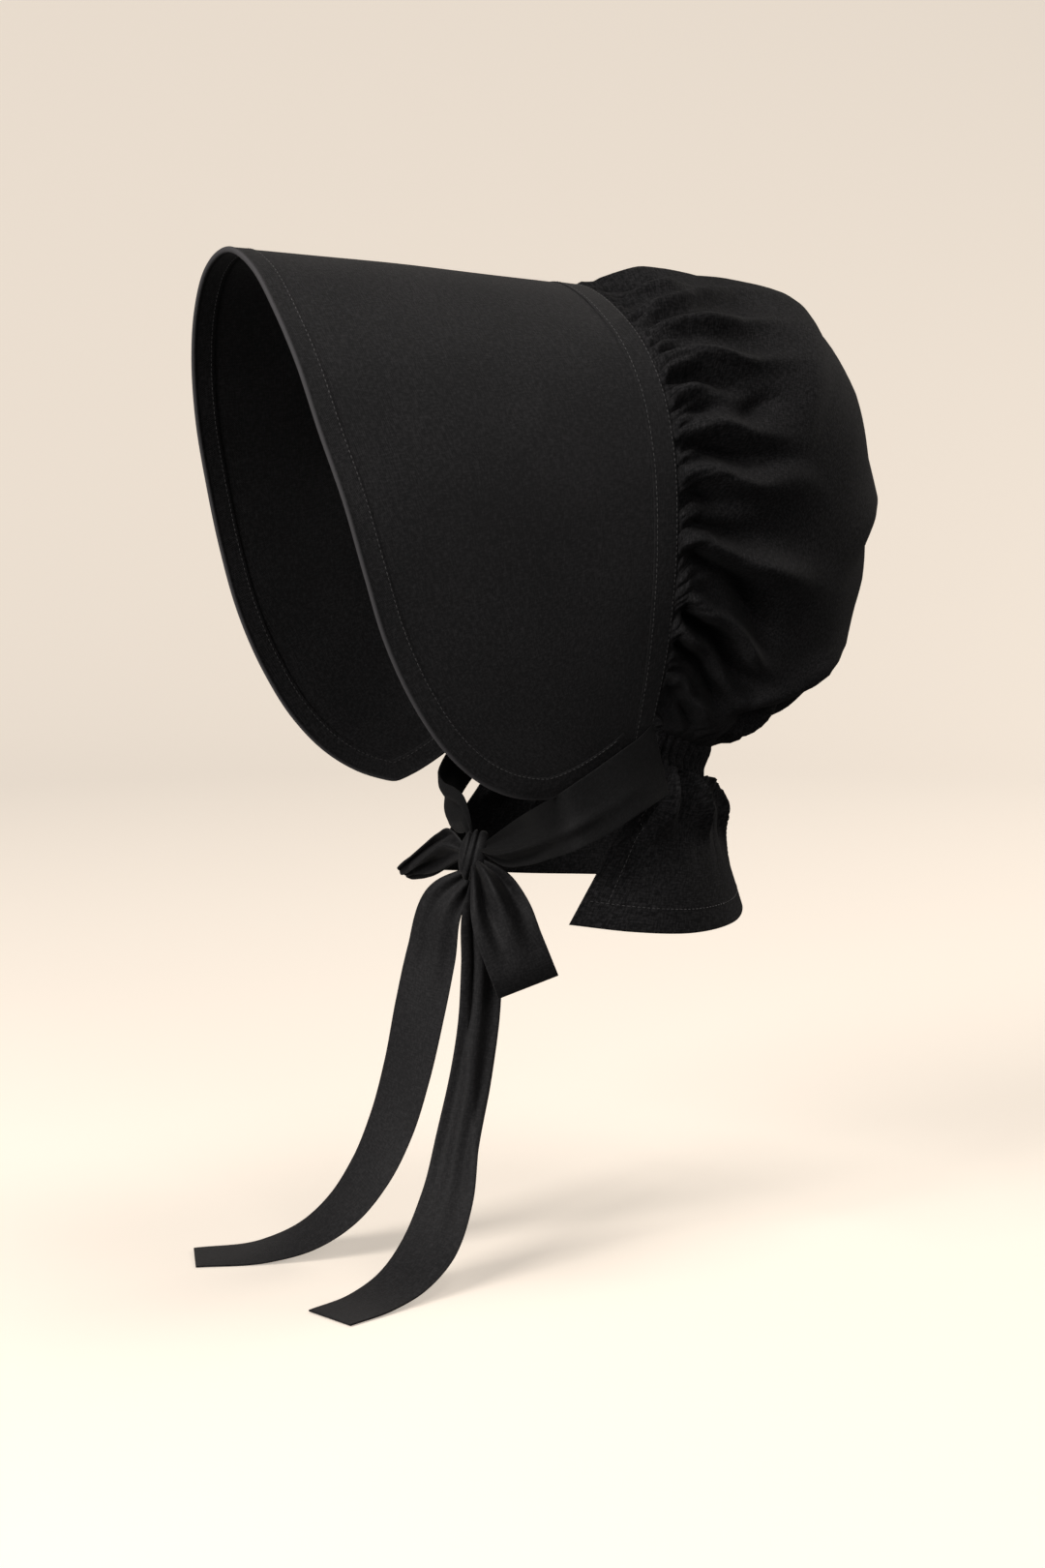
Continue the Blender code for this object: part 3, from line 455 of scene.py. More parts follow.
BACK_TAIL = [
    Station(*knot_side(0.12, 0.10, -1.0), 0.0070, 64, 0, 0.0005),
    Station(0.0020, -0.0535, -0.3040, 0.0150, 64, 0, 0.0020),
    Station(0.0025, -0.0520, -0.3300, 0.0190, 64, 0, 0.0020),
    Station(0.0062, -0.0555, -0.3560, 0.0202, 64, 0, 0.0012),
    Station(0.0116, -0.0632, -0.3860, 0.0208, 62, 0, 0.0008),
    Station(0.0180, -0.0735, -0.4160, 0.0225, 58, 6, 0.0008),
    Station(0.0264, -0.0832, -0.4420, 0.0275, 52, 20, 0.0010),
    Station(0.0352, -0.0966, -0.4620, 0.0300, 44, 44, 0.0010),
    Station(0.0430, -0.1140, -0.4745, 0.0300, 38, 66, 0.0008),
    Station(0.0510, -0.1340, -0.4800, 0.0300, 34, 82, 0.0005),
    Station(0.0600, -0.1600, -0.4815, 0.0300, 30, 88, 0.0),
]
BACK_TAIL_CREASE = [(0.0, 0.0), (0.22, 0.0), (0.54, 1.0), (1.0, 1.0)]
BACK_TAIL_SLOPES = (0.30, 0.45)
CREASE_FADE = (0.52, 0.74)
CREASE_ROUND = 0.05
CREASE_LOOK = 0.02
TAIL_PLEATS = 2.0
FRONT_TAIL_PHASE = 0.3
BACK_TAIL_PHASE = 0.0

# The cottons. shade is the share of the dye, cotton or ribbon, that the cloth's colour takes. Some rows are painted
# shade: the crown's share, which the casing and curtain take too, and the ties' share and low bloom make that cotton
# darker than the brim's. The tails' share above 1 is painted light, making the ribbon paler.
Cotton = namedtuple("Cotton", "dye shade threads bloom weave_depth sheen roughness_shift gloss")
COTTONS = {
    "brim cotton": Cotton("cotton", 1.0, 2000.0, 0.55, 0.00016, 0.05, 0.0, 0.16),
    "edge cotton": Cotton("cotton", 1.0, 2000.0, 0.55, 0.00016, 0.05, 0.0, 0.16),
    "crown cotton with painted shade": Cotton("cotton", 0.7, 2300.0, 0.62, 0.00018, 0.015, 0.06, 0.08),
    "tie cotton with painted shade": Cotton("cotton", 0.55, 2600.0, 0.14, 0.00014, 0.03, 0.0, 0.16),
    "ribbon cotton": Cotton("ribbon", 1.0, 2800.0, 0.50, 0.00009, 0.08, -0.14, 0.16),
    "tail cotton with painted light": Cotton("ribbon", 1.15, 2800.0, 0.60, 0.00009, 0.10, -0.10, 0.16),
}
# The strip's fold is painted paler, a painted highlight along its rolled edge with some wear: fully within the first
# distance below of its middle, not at all beyond the second, and its colour is the bloom's times the third.
HIGHLIGHT_AND_WEAR_FULL = 0.0024
HIGHLIGHT_AND_WEAR_END = 0.0050
HIGHLIGHT_AND_WEAR_PALER = 2.4

# The camera stands where the photograph was taken from.
CAMERA_PLACE = (1.35463, -0.68931, -0.01636)
CAMERA_TARGET = (0.02124, -0.03897, -0.23807)
CAMERA_LENS = 70.0

# The studio: a floor that bends up into a wall all round, and the lights.
FLOOR_DROP = 0.0002
FLOOR_REACH = 1.7
FLOOR_BEND = 1.1
WALL_TALL = 3.4
FLOOR_GLOW = 0.55
ROOM_COLOUR = (1.0, 0.95, 0.90, 1.0)
ROOM_LIGHT = 0.10
Light = namedtuple("Light", "name place target size power colour")
LIGHTS = [
    Light("window", (0.55, -1.85, 1.15), (0.0, -0.02, -0.14), 0.9, 33.0, (1.0, 0.96, 0.92)),
    Light("ceiling", (0.55, 0.35, 2.1), (0.0, 0.0, -0.14), 0.9, 18.0, (1.0, 0.97, 0.94)),
    Light("front", (0.4, -2.15, 0.0), (0.0, -0.05, -0.2), 0.7, 15.0, (1.0, 0.97, 0.94)),
    Light("room", (2.1, 0.0, 0.75), (0.0, 0.0, -0.2), 1.2, 9.0, (1.0, 0.97, 0.94)),
    Light("doorway", (-0.5, 2.1, 0.9), (0.0, 0.05, -0.14), 1.0, 14.0, (1.0, 0.94, 0.88)),
]


def unit(vectors):
    """The vectors, one a row, made one long."""
    return vectors / np.linalg.norm(vectors, axis=-1, keepdims=True)


def ways_along(points):
    """How far along the line through the points each of them lies."""
    return np.concatenate(([0.0], np.cumsum(np.linalg.norm(np.diff(points, axis=0), axis=1))))


def smooth_table(rows, ways=None):
    """Smooth values through the rows. Without ways, they are shares of the length through x, y and z."""
    knots = np.array(rows, dtype=float)
    if ways is None:
        steps = np.linalg.norm(np.diff(knots[:, :3], axis=0), axis=1)
        ways = np.concatenate(([0.0], np.cumsum(steps))) / steps.sum()
    ways = np.array(ways, dtype=float)
    slopes = np.gradient(knots, ways, axis=0)

    def at(way):
        way = np.atleast_1d(np.asarray(way, dtype=float))
        row = np.clip(np.searchsorted(ways, way) - 1, 0, len(ways) - 2)
        step = (ways[row + 1] - ways[row])[:, None]
        part = (way - ways[row])[:, None] / step
        square, cube = part**2, part**3
        return (
            (2 * cube - 3 * square + 1) * knots[row]
            + (cube - 2 * square + part) * step * slopes[row]
            + (3 * square - 2 * cube) * knots[row + 1]
            + (cube - square) * step * slopes[row + 1]
        )

    return at


def arch_line(rows):
    """The whole arch of an edge, from its near lower end (0) over the top (0.5) to the far one (1)."""
    near = [(row.half_width, row.y, row.z) for row in reversed(rows)]
    far = [(-row.half_width, row.y, row.z - row.far_drop) for row in rows[1:]]
    return smooth_table(near + far)


def soft_step(value, start, end):
    part = np.clip((np.asarray(value, dtype=float) - start) / (end - start), 0.0, 1.0)
    return part * part * (3 - 2 * part)


def between(value, begins, ends):
    """1 where the value lies between begins and ends, with a soft step over each of the two."""
    return soft_step(value, *begins) * (1 - soft_step(value, *ends))


front_edge = arch_line(FRONT_EDGE)
seam_line = arch_line(SEAM)
crown_section = smooth_table(CROWN_SECTIONS, [row.degrees for row in CROWN_SECTIONS])
curtain_hem = smooth_table(
    [tuple(row) for row in reversed(CURTAIN_HEM)] + [(-row.x, row.y, row.z) for row in CURTAIN_HEM[1:]]
)
FULL_REACH = SEAM[0].z - HINGE_Z
END_WIDTH = SEAM[-1].half_width


def brim_point(round_share, deep_share):
    """Points halfway through the brim's cloth, 0 at its front edge and 1 at the seam."""
    front, seam = front_edge(round_share), seam_line(round_share)
    deep = deep_share[:, None]
    points = front + (seam - front) * deep
    hump = 4 * deep * (1 - deep)
    outwards = points * (1.0, 0.0, 1.0)
    outwards[:, 2] -= HEAD_MIDDLE[2]
    first, second = (np.sin(round_share * turns + deep_share * rows + start) for turns, rows, start in RIPPLE_WAVES)
    points += unit(outwards) * (BRIM_CAMBER + BRIM_RIPPLE * (first * second)[:, None]) * hump
    to_end = np.minimum(round_share, 1 - round_share)
    points[:, 2] -= LOWER_EDGE_SAG * hump[:, 0] * (1 - soft_step(to_end, 0.0, LOWER_EDGE_REACH))
    return points


def brim_length(round_share):
    return np.linalg.norm(seam_line(round_share) - front_edge(round_share), axis=1)


def crown_point(round_share, deep_share):
    """Points halfway through the crown's cloth without its folds, 0 at the seam and 1 at the neck."""
    degrees, reach, swell, roundness = crown_section(deep_share * CROWN_SECTIONS[-1].degrees).T
    seam = seam_line(round_share)
    angle = (round_share - 0.5) * math.pi
    arch_x = seam[:, 0] + (-END_WIDTH * np.sin(angle) - seam[:, 0]) * roundness
    arch_up = (seam[:, 2] - HINGE_Z) / FULL_REACH
    arch_up = arch_up + (np.cos(angle) - arch_up) * roundness
    side = -np.sin(angle)
    arch_x = arch_x + swell * side * (1 - np.abs(side) ** SWELL_SHARPNESS)
    corner = CORNER_RADIUS * soft_step(deep_share, 0.0, CORNER_DEPTH)
    up = corner + (reach - corner) * arch_up
    forward = (seam[:, 1] - HINGE_Y) * (1 - deep_share) * (1 - roundness)
    turn = np.radians(degrees)
    y = HINGE_Y + up * np.sin(turn) + forward + SEAM_ALLOWANCE
    return np.stack((arch_x, y, HINGE_Z + up * np.cos(turn)), axis=1)


def seam_distance(round_share, deep_share):
    """How far along the cloth a place in the crown is from the seam."""
    arm = np.maximum(seam_line(round_share)[:, 2] - HINGE_Z, SHORTEST_ARM)
    return deep_share * CROWN_TURN * arm


def gather_bounds(count, uneven, seed):
    """Where the gathers meet, from 0 to 1, each a little wider or narrower than the next."""
    dice = random.Random(seed)
    widths = [1 + uneven * (2 * dice.random() - 1) for _ in range(count)]
    return np.concatenate(([0.0], np.cumsum(widths))) / sum(widths)


def gather_wave(share, bounds):
    """Rounded ridges with a narrow valley between each two, and the number of each place's ridge."""
    ridge = np.clip(np.searchsorted(bounds, share, side="right") - 1, 0, len(bounds) - 2)
    part = (share - bounds[ridge]) / (bounds[ridge + 1] - bounds[ridge])
    return np.sin(np.pi * np.clip(part, 0, 1)) ** GATHER_ROUNDNESS, ridge


def neck_pleats(share):
    """The pleats that the casing draws up, from 0 in a valley to 1 on a ridge."""
    return gather_wave(share, gather_bounds(NECK_PLEATS, NECK_PLEAT_UNEVEN, NECK_PLEAT_SEED))[0]


def random_values(dice, least, spread, count, power=1):
    """Values from least up to least + spread. A higher power brings more of them near the least."""
    return np.array([least + spread * dice.random() ** power for _ in range(count)])


def mirrored(folds, shift):
    """The folds on the wearer's right side, each shifted one way or the other so that the sides differ."""
    return [
        fold._replace(path=[(1 - share + shift * (-1) ** number, depth) for share, depth in fold.path])
        for number, fold in enumerate(folds)
    ]


def fold_lift(points, folds, place):
    """How far the folds raise or lower each of the points."""
    lift = np.zeros(len(points))
    for fold in folds:
        path = np.array(fold.path)
        line = smooth_table(path, np.linspace(0, 1, len(path)))(np.linspace(0, 1, FOLD_STEPS))
        ridge = place(line[:, 0], np.clip(line[:, 1], 0, 1))
        widest = max(fold.start_width, fold.end_width)
        low, high = ridge.min(axis=0) - 3 * widest, ridge.max(axis=0) + 3 * widest
        near = np.flatnonzero(np.all((points > low) & (points < high), axis=1))
        apart = np.linalg.norm(points[near][:, None, :] - ridge[None, :, :], axis=2)
        step = apart.argmin(axis=1)
        along = step / (FOLD_STEPS - 1)
        width = fold.start_width + (fold.end_width - fold.start_width) * along
        rise = FOLD_AT_SEAM + (1 - FOLD_AT_SEAM) * soft_step(along, 0.0, FOLD_RISE)
        taper = rise * (1 - soft_step(along, FOLD_FALL, 1.0))
        sharpness = RIDGE_SHARPNESS if fold.height > 0 else VALLEY_SHARPNESS
        across = apart[np.arange(len(near)), step] / width
        shape = np.exp(-(across**sharpness)) - FLANK_DEPTH * np.exp(-((across / FLANK_REACH) ** 2))
        lift[near] += fold.height * shape / (1 - FLANK_DEPTH) * taper
    return lift


def smoothed(lift, round_share):
    """The lift with each place's height averaged with its neighbours', so that no fold ends in a step."""
    rows = len(np.unique(round_share))
    grid = lift.reshape(rows, -1) if round_share[0] == round_share[1] else lift.reshape(-1, rows).T
    for _ in range(SMOOTH_PASSES):
        for turn in range(2):
            grid = grid.T
            padded = np.concatenate((grid[:1], grid, grid[-1:]))
            grid = (padded[:-2] + 2 * padded[1:-1] + padded[2:]) / 4
    return grid.ravel() if round_share[0] == round_share[1] else grid.T.ravel()


def crown_lift(points, round_share, deep_share, gather_height, gather_count, fold_scale):
    """How far the gathers and folds lift the crown's cloth."""
    away = seam_distance(round_share, deep_share)
    dice = random.Random(GATHER_SEED)
    bounds = gather_bounds(gather_count, GATHER_UNEVEN, GATHER_SEED)
    heights = random_values(dice, *GATHER_HEIGHTS, gather_count)
    lengths = random_values(dice, *GATHER_LENGTHS, gather_count, power=2)
    drift = DRIFT * np.sin(round_share * DRIFT_TURNS) * soft_step(away, 0.0, DRIFT_REACH)
    wave, ridge = gather_wave(round_share + drift, bounds)
    rise = GATHER_AT_SEAM + (1 - GATHER_AT_SEAM) * soft_step(away, 0.0, GATHER_RISE)
    fade = 1 - soft_step(away / lengths[ridge], *GATHER_FALL)
    level = 0.5 * soft_step(away, *GATHER_LEVEL)
    lift = gather_height * (wave - level) * heights[ridge] * rise * fade
    groups, _ = gather_wave(round_share + drift, bounds[::GROUP_OF])
    lift += gather_height * GROUP_SHARE * (groups - 0.5) * between(away, GROUP_RISE, GROUP_FALL)
    for way, shape in ((deep_share, BACK_SHAPE), (deep_share, UNDER_SHAPE), (away, TOP_SHAPE)):
        lift += np.interp(way, *zip(*shape.profile)) * between(round_share, shape.begins, shape.ends)
    folds = fold_lift(points, SIDE_FOLDS + mirrored(SIDE_FOLDS, FAR_SIDE_SHIFT) + BACK_FOLDS, crown_point)
    caught = soft_step(away, *FOLD_FREE) * (1 - soft_step(deep_share, *FOLD_TO_CASING))
    lift += fold_scale * smoothed(folds, round_share) * caught
    neck_rise = soft_step(deep_share, *NECK_GATHER_RISE)
    lift += gather_height * NECK_GATHER_SHARE * (neck_pleats(round_share) - 0.5) * neck_rise
    room = points[:, 2] - HINGE_Z + np.maximum(points[:, 1] - HINGE_Y, 0)
    return lift * soft_step(room, 0.0, CORNER_ROOM)


def neck_point(round_share, drop):
    """Points of the neck's edge, drop below the crown's lower end."""
    points = crown_point(round_share, np.ones_like(round_share))
    apart = np.hypot(points[:, 0], points[:, 1] - NECK_MIDDLE[1])
    inwards = 1 - CASING_DRAWN / apart
    return np.stack((points[:, 0] * inwards, points[:, 1] * inwards, points[:, 2] - drop), axis=1)


def drawn_in(points, inwards_by):
    """The points, each moved level towards the middle of the neck."""
    from_middle = points - np.array(NECK_MIDDLE)
    from_middle[:, 2] = 0.0
    return points - unit(from_middle) * np.reshape(inwards_by, (-1, 1))


def casing_point(round_share, deep_share):
    points = neck_point(round_share, CASING_TOP_DROP + deep_share * CASING_TALL)
    return drawn_in(points, CASING_WAIST * soft_step(deep_share, 0.0, WAIST_DEPTH))


def crown_cloth_point(round_share, deep_share):
    """Points halfway through the crown's cloth, with its lower edge tucked in behind the casing."""
    tuck = soft_step(deep_share, TUCK_START, 1.0)[:, None]
    tucked = drawn_in(casing_point(round_share, np.full_like(round_share, TUCK_DEPTH)), TUCK_BEHIND)
    return crown_point(round_share, deep_share) * (1 - tuck) + tucked * tuck


def casing_lift(round_share, deep_share, pleat_height):
    """How far the casing's pleats, which lean a little sideways, lift its cloth."""
    slant = CASING_SLANT * 4 * deep_share * (1 - deep_share)
    return pleat_height * (neck_pleats(np.clip(round_share + slant, 0, 1)) - 0.5)


def curtain_point(round_share, deep_share):
    """Points halfway through the curtain's cloth, 0 at the casing and 1 at the hem."""
    neck = neck_point(round_share, CASING_TOP_DROP + CASING_TALL - CURTAIN_OVERLAP)
    top = drawn_in(neck, CASING_WAIST - CURTAIN_BEHIND)
    points = top + (curtain_hem(round_share) - top) * deep_share[:, None]
    outwards = points - np.array(NECK_MIDDLE)
    outwards[:, 2] = 0.0
    puff = CURTAIN_PUFF * np.exp(-(((deep_share - PUFF_MIDDLE) / PUFF_REACH) ** 2))
    return points + unit(outwards) * (puff + CURTAIN_FLARE * 4 * deep_share * (1 - deep_share))[:, None]


def curtain_lift(points, round_share, deep_share):
    """How far the pleats below the casing, the wider waves and the folds lift the curtain's cloth."""
    full = soft_step(np.minimum(round_share, 1 - round_share), *CURTAIN_FRONT)
    fine = CURTAIN_PLEAT * (neck_pleats(round_share) - 0.5) * (1 - soft_step(deep_share, *CURTAIN_PLEAT_FALL))
    waves, wave = gather_wave(round_share, gather_bounds(CURTAIN_WAVES, CURTAIN_WAVE_UNEVEN, CURTAIN_WAVE_SEED))
    heights = random_values(random.Random(CURTAIN_WAVE_SEED), *CURTAIN_WAVE_HEIGHTS, CURTAIN_WAVES)
    wide = CURTAIN_WAVE * (waves - 0.5) * heights[wave] * soft_step(deep_share, *CURTAIN_WAVE_RISE)
    wide *= 1 - soft_step(deep_share, *CURTAIN_WAVE_FALL)
    folds = CURTAIN_FOLDS + mirrored(CURTAIN_FOLDS[:FRONT_CURTAIN_FOLDS], CURTAIN_FAR_SHIFT)
    return full * (fine + wide) + CURTAIN_FOLD_SCALE * fold_lift(points, folds, curtain_point)


def cloth_grid(across, along, place, lift=None, outwards_from=None):
    """A grid laid over place(across, along), raised along its normals by lift. Also gives its shares."""
    mesh = bmesh.new()
    columns, rows = len(across) - 1, len(along) - 1
    bmesh.ops.create_grid(mesh, x_segments=columns, y_segments=rows, size=1.0)
    spots = (np.array([vert.co[:2] for vert in mesh.verts]) + 1) / 2
    round_share = across[np.rint(spots[:, 0] * columns).astype(int)]
    deep_share = along[np.rint(spots[:, 1] * rows).astype(int)]
    move_to(mesh, place(round_share, deep_share))
    if outwards_from is not None:
        mesh.faces.ensure_lookup_table()
        middle = mesh.faces[len(mesh.faces) // 2]
        if middle.normal.dot(middle.calc_center_median() - Vector(outwards_from)) < 0:
            bmesh.ops.reverse_faces(mesh, faces=mesh.faces)
            mesh.normal_update()
    if lift is not None:
        points = np.array([vert.co[:] for vert in mesh.verts])
        normals = np.array([vert.normal[:] for vert in mesh.verts])
        move_to(mesh, points + normals * lift(points, round_share, deep_share)[:, None])
    return mesh, round_share, deep_share


def move_to(mesh, points):
    for vert, point in zip(mesh.verts, points.tolist()):
        vert.co = point
    mesh.normal_update()


def object_from(name, mesh, material, flat_places=None):
    """A smooth object from a bmesh, with its flat places as UVs in metres. Frees the bmesh."""
    data = bpy.data.meshes.new(name)
    mesh.to_mesh(data)
    mesh.free()
    if flat_places is not None:
        corners = np.empty(len(data.loops), dtype=np.int32)
        data.loops.foreach_get("vertex_index", corners)
        cloth_map = data.uv_layers.new(name=CLOTH_MAP)
        cloth_map.data.foreach_set("uv", flat_places[corners].astype(np.float32).ravel())
    data.shade_smooth()
    data.materials.append(material)
    made = bpy.data.objects.new(name, data)
    bpy.context.scene.collection.objects.link(made)
    return made


def cloth_object(name, mesh, flat_places, thick, material, rim=0.0):
    """An object from an open sheet, with a wall of cloth and, where rim says so, a soft edge."""
    cloth = object_from(name, mesh, material, flat_places)
    wall = cloth.modifiers.new("cloth wall", "SOLIDIFY")
    wall.thickness = thick
    wall.offset = 0.0
    if rim:
        edge = cloth.modifiers.new("soft edge", "BEVEL")
        edge.width = rim
        edge.segments = 2
        edge.limit_method = "ANGLE"
        edge.angle_limit = math.radians(60)
    return cloth


def copies_of(one, count):
    """A bmesh with count copies of the one, one after another, made by doubling. Frees the one."""
    mesh = bmesh.new()
    pattern, held = bpy.data.meshes.new("pattern"), bpy.data.meshes.new("copies")
    one.to_mesh(pattern)
    one.free()
    for digit in format(count, "b"):
        mesh.to_mesh(held)
        mesh.from_mesh(held)
        if digit == "1":
            mesh.from_mesh(pattern)
    bpy.data.meshes.remove(pattern)
    bpy.data.meshes.remove(held)
    return mesh


def stitch_object(name, rows, material):
    """One object with a short thread, half sunk in the cloth, for each stitch of the rows."""
    sizes = bpy.context.scene.bonnet_sizes
    one = bmesh.new()
    bmesh.ops.create_uvsphere(one, u_segments=6, v_segments=5, radius=1.0)
    shape = np.array([vert.co[:] for vert in one.verts])
    radii = (sizes.stitch_step * STITCH_HALF, sizes.thread * 0.5, sizes.thread * 0.5)
    spots = []
    for points, normals in rows:
        ways = ways_along(points)
        count = max(int(ways[-1] / sizes.stitch_step), 1)
        middles = (np.arange(count) + 0.5) * ways[-1] / count

        def along(values, shift=0.0):
            return np.stack([np.interp(middles + shift, ways, values[:, axis]) for axis in range(3)], axis=1)

        reach = sizes.stitch_step * STITCH_LOOK
        ahead = unit(along(points, reach) - along(points, -reach))
        upwards = unit(along(normals))
        aside = unit(np.cross(upwards, ahead))
        frames = np.stack([way * radius for way, radius in zip((ahead, aside, upwards), radii)], axis=1)
        spots.append(along(points)[:, None, :] + np.einsum("pa,cax->cpx", shape, frames))
    spots = np.concatenate(spots)
    mesh = copies_of(one, len(spots))
    move_to(mesh, spots.reshape(-1, 3))
    stitches = object_from(name, mesh, material)
    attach(stitches, "root")
    return stitches


def row_on(place, round_share, deep_share, lift, outwards_from):
    """Points and normals of a row of stitches on the surface that place gives."""
    points = place(round_share, deep_share)
    left, right = (np.clip(round_share + nudge, 0, 1) for nudge in (-NUDGE, NUDGE))
    above, below = (np.clip(deep_share + nudge, 0, 1) for nudge in (-NUDGE, NUDGE))
    across = place(right, deep_share) - place(left, deep_share)
    along = place(round_share, below) - place(round_share, above)
    normals = unit(np.cross(across, along))
    if np.sum(normals * (points - np.array(outwards_from))) < 0:
        normals = -normals
    return points + normals * lift, normals


def snapped(surface, points, lift, outwards_from):
    """The nearest places of a cloth's surface to the points, raised by lift, and its normals there."""
    spots, ways = [], []
    for point in points:
        spot, normal = surface.find_nearest(Vector(point))[:2]
        if normal.dot(spot - Vector(outwards_from)) < 0:
            normal = -normal
        spots.append(spot + normal * lift)
        ways.append(normal)
    return np.array(spots), np.array(ways)


def blank_material(name):
    """A new material, its node tree and its Principled shader."""
    material = bpy.data.materials.new(name)
    material.use_nodes = True
    return material, material.node_tree, material.node_tree.nodes["Principled BSDF"]


def fed(tree, node, inputs):
    """The node, each input of it named here set to its value or linked to the socket that feeds it."""
    for name, value in inputs.items():
        if isinstance(value, bpy.types.NodeSocket):
            tree.links.new(value, node.inputs[name])
        else:
            node.inputs[name].default_value = value
    return node


def math_of(tree, operation, *values):
    node = tree.nodes.new("ShaderNodeMath")
    node.operation = operation
    return fed(tree, node, dict(enumerate(values))).outputs[0]


def sum_of(tree, start, *masks):
    """The start, and on top of it each mask times its share."""
    for mask, share in masks:
        start = math_of(tree, "MULTIPLY_ADD", mask, share, start)
    return start


def noise_of(tree, place, scale, detail=2.0, stretch=None):
    if stretch:
        mapping = tree.nodes.new("ShaderNodeMapping")
        place = fed(tree, mapping, {"Vector": place, "Scale": stretch}).outputs["Vector"]
    noise = tree.nodes.new("ShaderNodeTexNoise")
    return fed(tree, noise, {"Vector": place, "Scale": scale, "Detail": detail}).outputs["Fac"]


def spread_of(tree, value, low, high):
    """The value spread out so that low becomes 0 and high 1, and no farther."""
    spread = tree.nodes.new("ShaderNodeMapRange")
    return fed(tree, spread, {"Value": value, "From Min": low, "From Max": high}).outputs["Result"]


def split_of(tree, place):
    return fed(tree, tree.nodes.new("ShaderNodeSeparateXYZ"), {0: place}).outputs


def mix_of(tree, factor, first, second):
    mix = tree.nodes.new("ShaderNodeMix")
    mix.data_type = "RGBA"
    mix.clamp_factor = True
    return fed(tree, mix, {"Factor": factor, "A": first, "B": second}).outputs["Result"]


def cloth_place(tree):
    """Where a point of the cloth lies when the cloth is flat, in metres."""
    cloth_map = tree.nodes.new("ShaderNodeUVMap")
    cloth_map.uv_map = CLOTH_MAP
    return cloth_map.outputs["UV"]


def object_place(tree):
    return tree.nodes.new("ShaderNodeTexCoord").outputs["Object"]


def weave_group():
    """A shader group for plain-woven cloth, with its threads, its uneven yarn and its dusty bloom."""
    group = bpy.data.node_groups.get("Plain weave")
    if group:
        return group
    group = bpy.data.node_groups.new("Plain weave", "ShaderNodeTree")
    for name, kind, value in (
        ("Cloth Place", "NodeSocketVector", (0.0, 0.0, 0.0)),
        ("Object Place", "NodeSocketVector", (0.0, 0.0, 0.0)),
        ("Cloth Colour", "NodeSocketColor", (0.01, 0.01, 0.01, 1.0)),
        ("Bloom Colour", "NodeSocketColor", (0.03, 0.03, 0.03, 1.0)),
        ("Threads per Metre", "NodeSocketFloat", 2200.0),
        ("Bloom", "NodeSocketFloat", 0.5),
    ):
        group.interface.new_socket(name, in_out="INPUT", socket_type=kind).default_value = value
    group.interface.new_socket("Colour", in_out="OUTPUT", socket_type="NodeSocketColor")
    for name in ("Height", "Roughness"):
        group.interface.new_socket(name, in_out="OUTPUT", socket_type="NodeSocketFloat")
    given = group.nodes.new("NodeGroupInput").outputs
    cloth, body = given["Cloth Place"], given["Object Place"]
    scaled = group.nodes.new("ShaderNodeVectorMath")
    scaled.operation = "SCALE"
    threads = split_of(group, fed(group, scaled, {0: cloth, "Scale": given["Threads per Metre"]}).outputs[0])
    warp, weft = (math_of(group, "SINE", math_of(group, "MULTIPLY", threads[way], math.pi)) for way in "XY")
    over_under = math_of(group, "MULTIPLY", warp, weft)
    lengthwise = noise_of(group, cloth, 1.0, 3.0, (1300.0, 330.0, 1.0))
    crosswise = noise_of(group, cloth, 1.0, 3.0, (330.0, 1300.0, 1.0))
    yarn = math_of(group, "ADD", lengthwise, crosswise)
    fuzz = noise_of(group, body, 1500.0, 3.0)
    patches = noise_of(group, body, 26.0, 4.0)
    grain = noise_of(group, body, 750.0, 2.0)
    bloom = sum_of(group, -4.45, (patches, 1.2), (grain, 1.8), (yarn, 3.4))
    bloom = math_of(group, "MULTIPLY", bloom, given["Bloom"])
    fed(group, group.nodes.new("NodeGroupOutput"), {
        "Colour": mix_of(group, bloom, given["Cloth Colour"], given["Bloom Colour"]),
        "Height": sum_of(group, 0.35, (over_under, 0.30), (yarn, 0.55), (fuzz, 0.35)),
        "Roughness": sum_of(group, 0.62, (grain, 0.16)),
    })
    return group


def cotton_material(name):
    """One of the black cottons: the weave group feeds the colour, the roughness and the bump of its shader."""
    made = bpy.data.materials.get(name)
    if made:
        return made
    cloth = COTTONS[name]
    colours = bpy.context.scene.bonnet_colours
    dye = colours.ribbon if cloth.dye == "ribbon" else colours.cotton
    material, tree, shader = blank_material(name)
    weave = tree.nodes.new("ShaderNodeGroup")
    weave.node_tree = weave_group()
    fed(tree, weave, {
        "Cloth Place": cloth_place(tree),
        "Object Place": object_place(tree),
        # The shade share paints shade on the crown, casing, curtain and ties, and paints light on the tails.
        "Cloth Colour": (*(part * cloth.shade for part in dye), 1.0),
        "Bloom Colour": (*colours.bloom, 1.0),
        "Threads per Metre": cloth.threads,
        "Bloom": cloth.bloom,
    })
    bump = tree.nodes.new("ShaderNodeBump")
    fed(tree, bump, {"Strength": 1.0, "Distance": cloth.weave_depth, "Height": weave.outputs["Height"]})
    fed(tree, shader, {
        "Base Color": weave.outputs["Colour"],
        "Roughness": math_of(tree, "ADD", weave.outputs["Roughness"], cloth.roughness_shift),
        "Normal": bump.outputs["Normal"],
    })
    shader.inputs["Sheen Weight"].default_value = cloth.sheen
    shader.inputs["Sheen Roughness"].default_value = 0.45
    shader.inputs["Sheen Tint"].default_value = (1.0, 0.97, 0.94, 1.0)
    shader.inputs["Specular IOR Level"].default_value = cloth.gloss
    return material


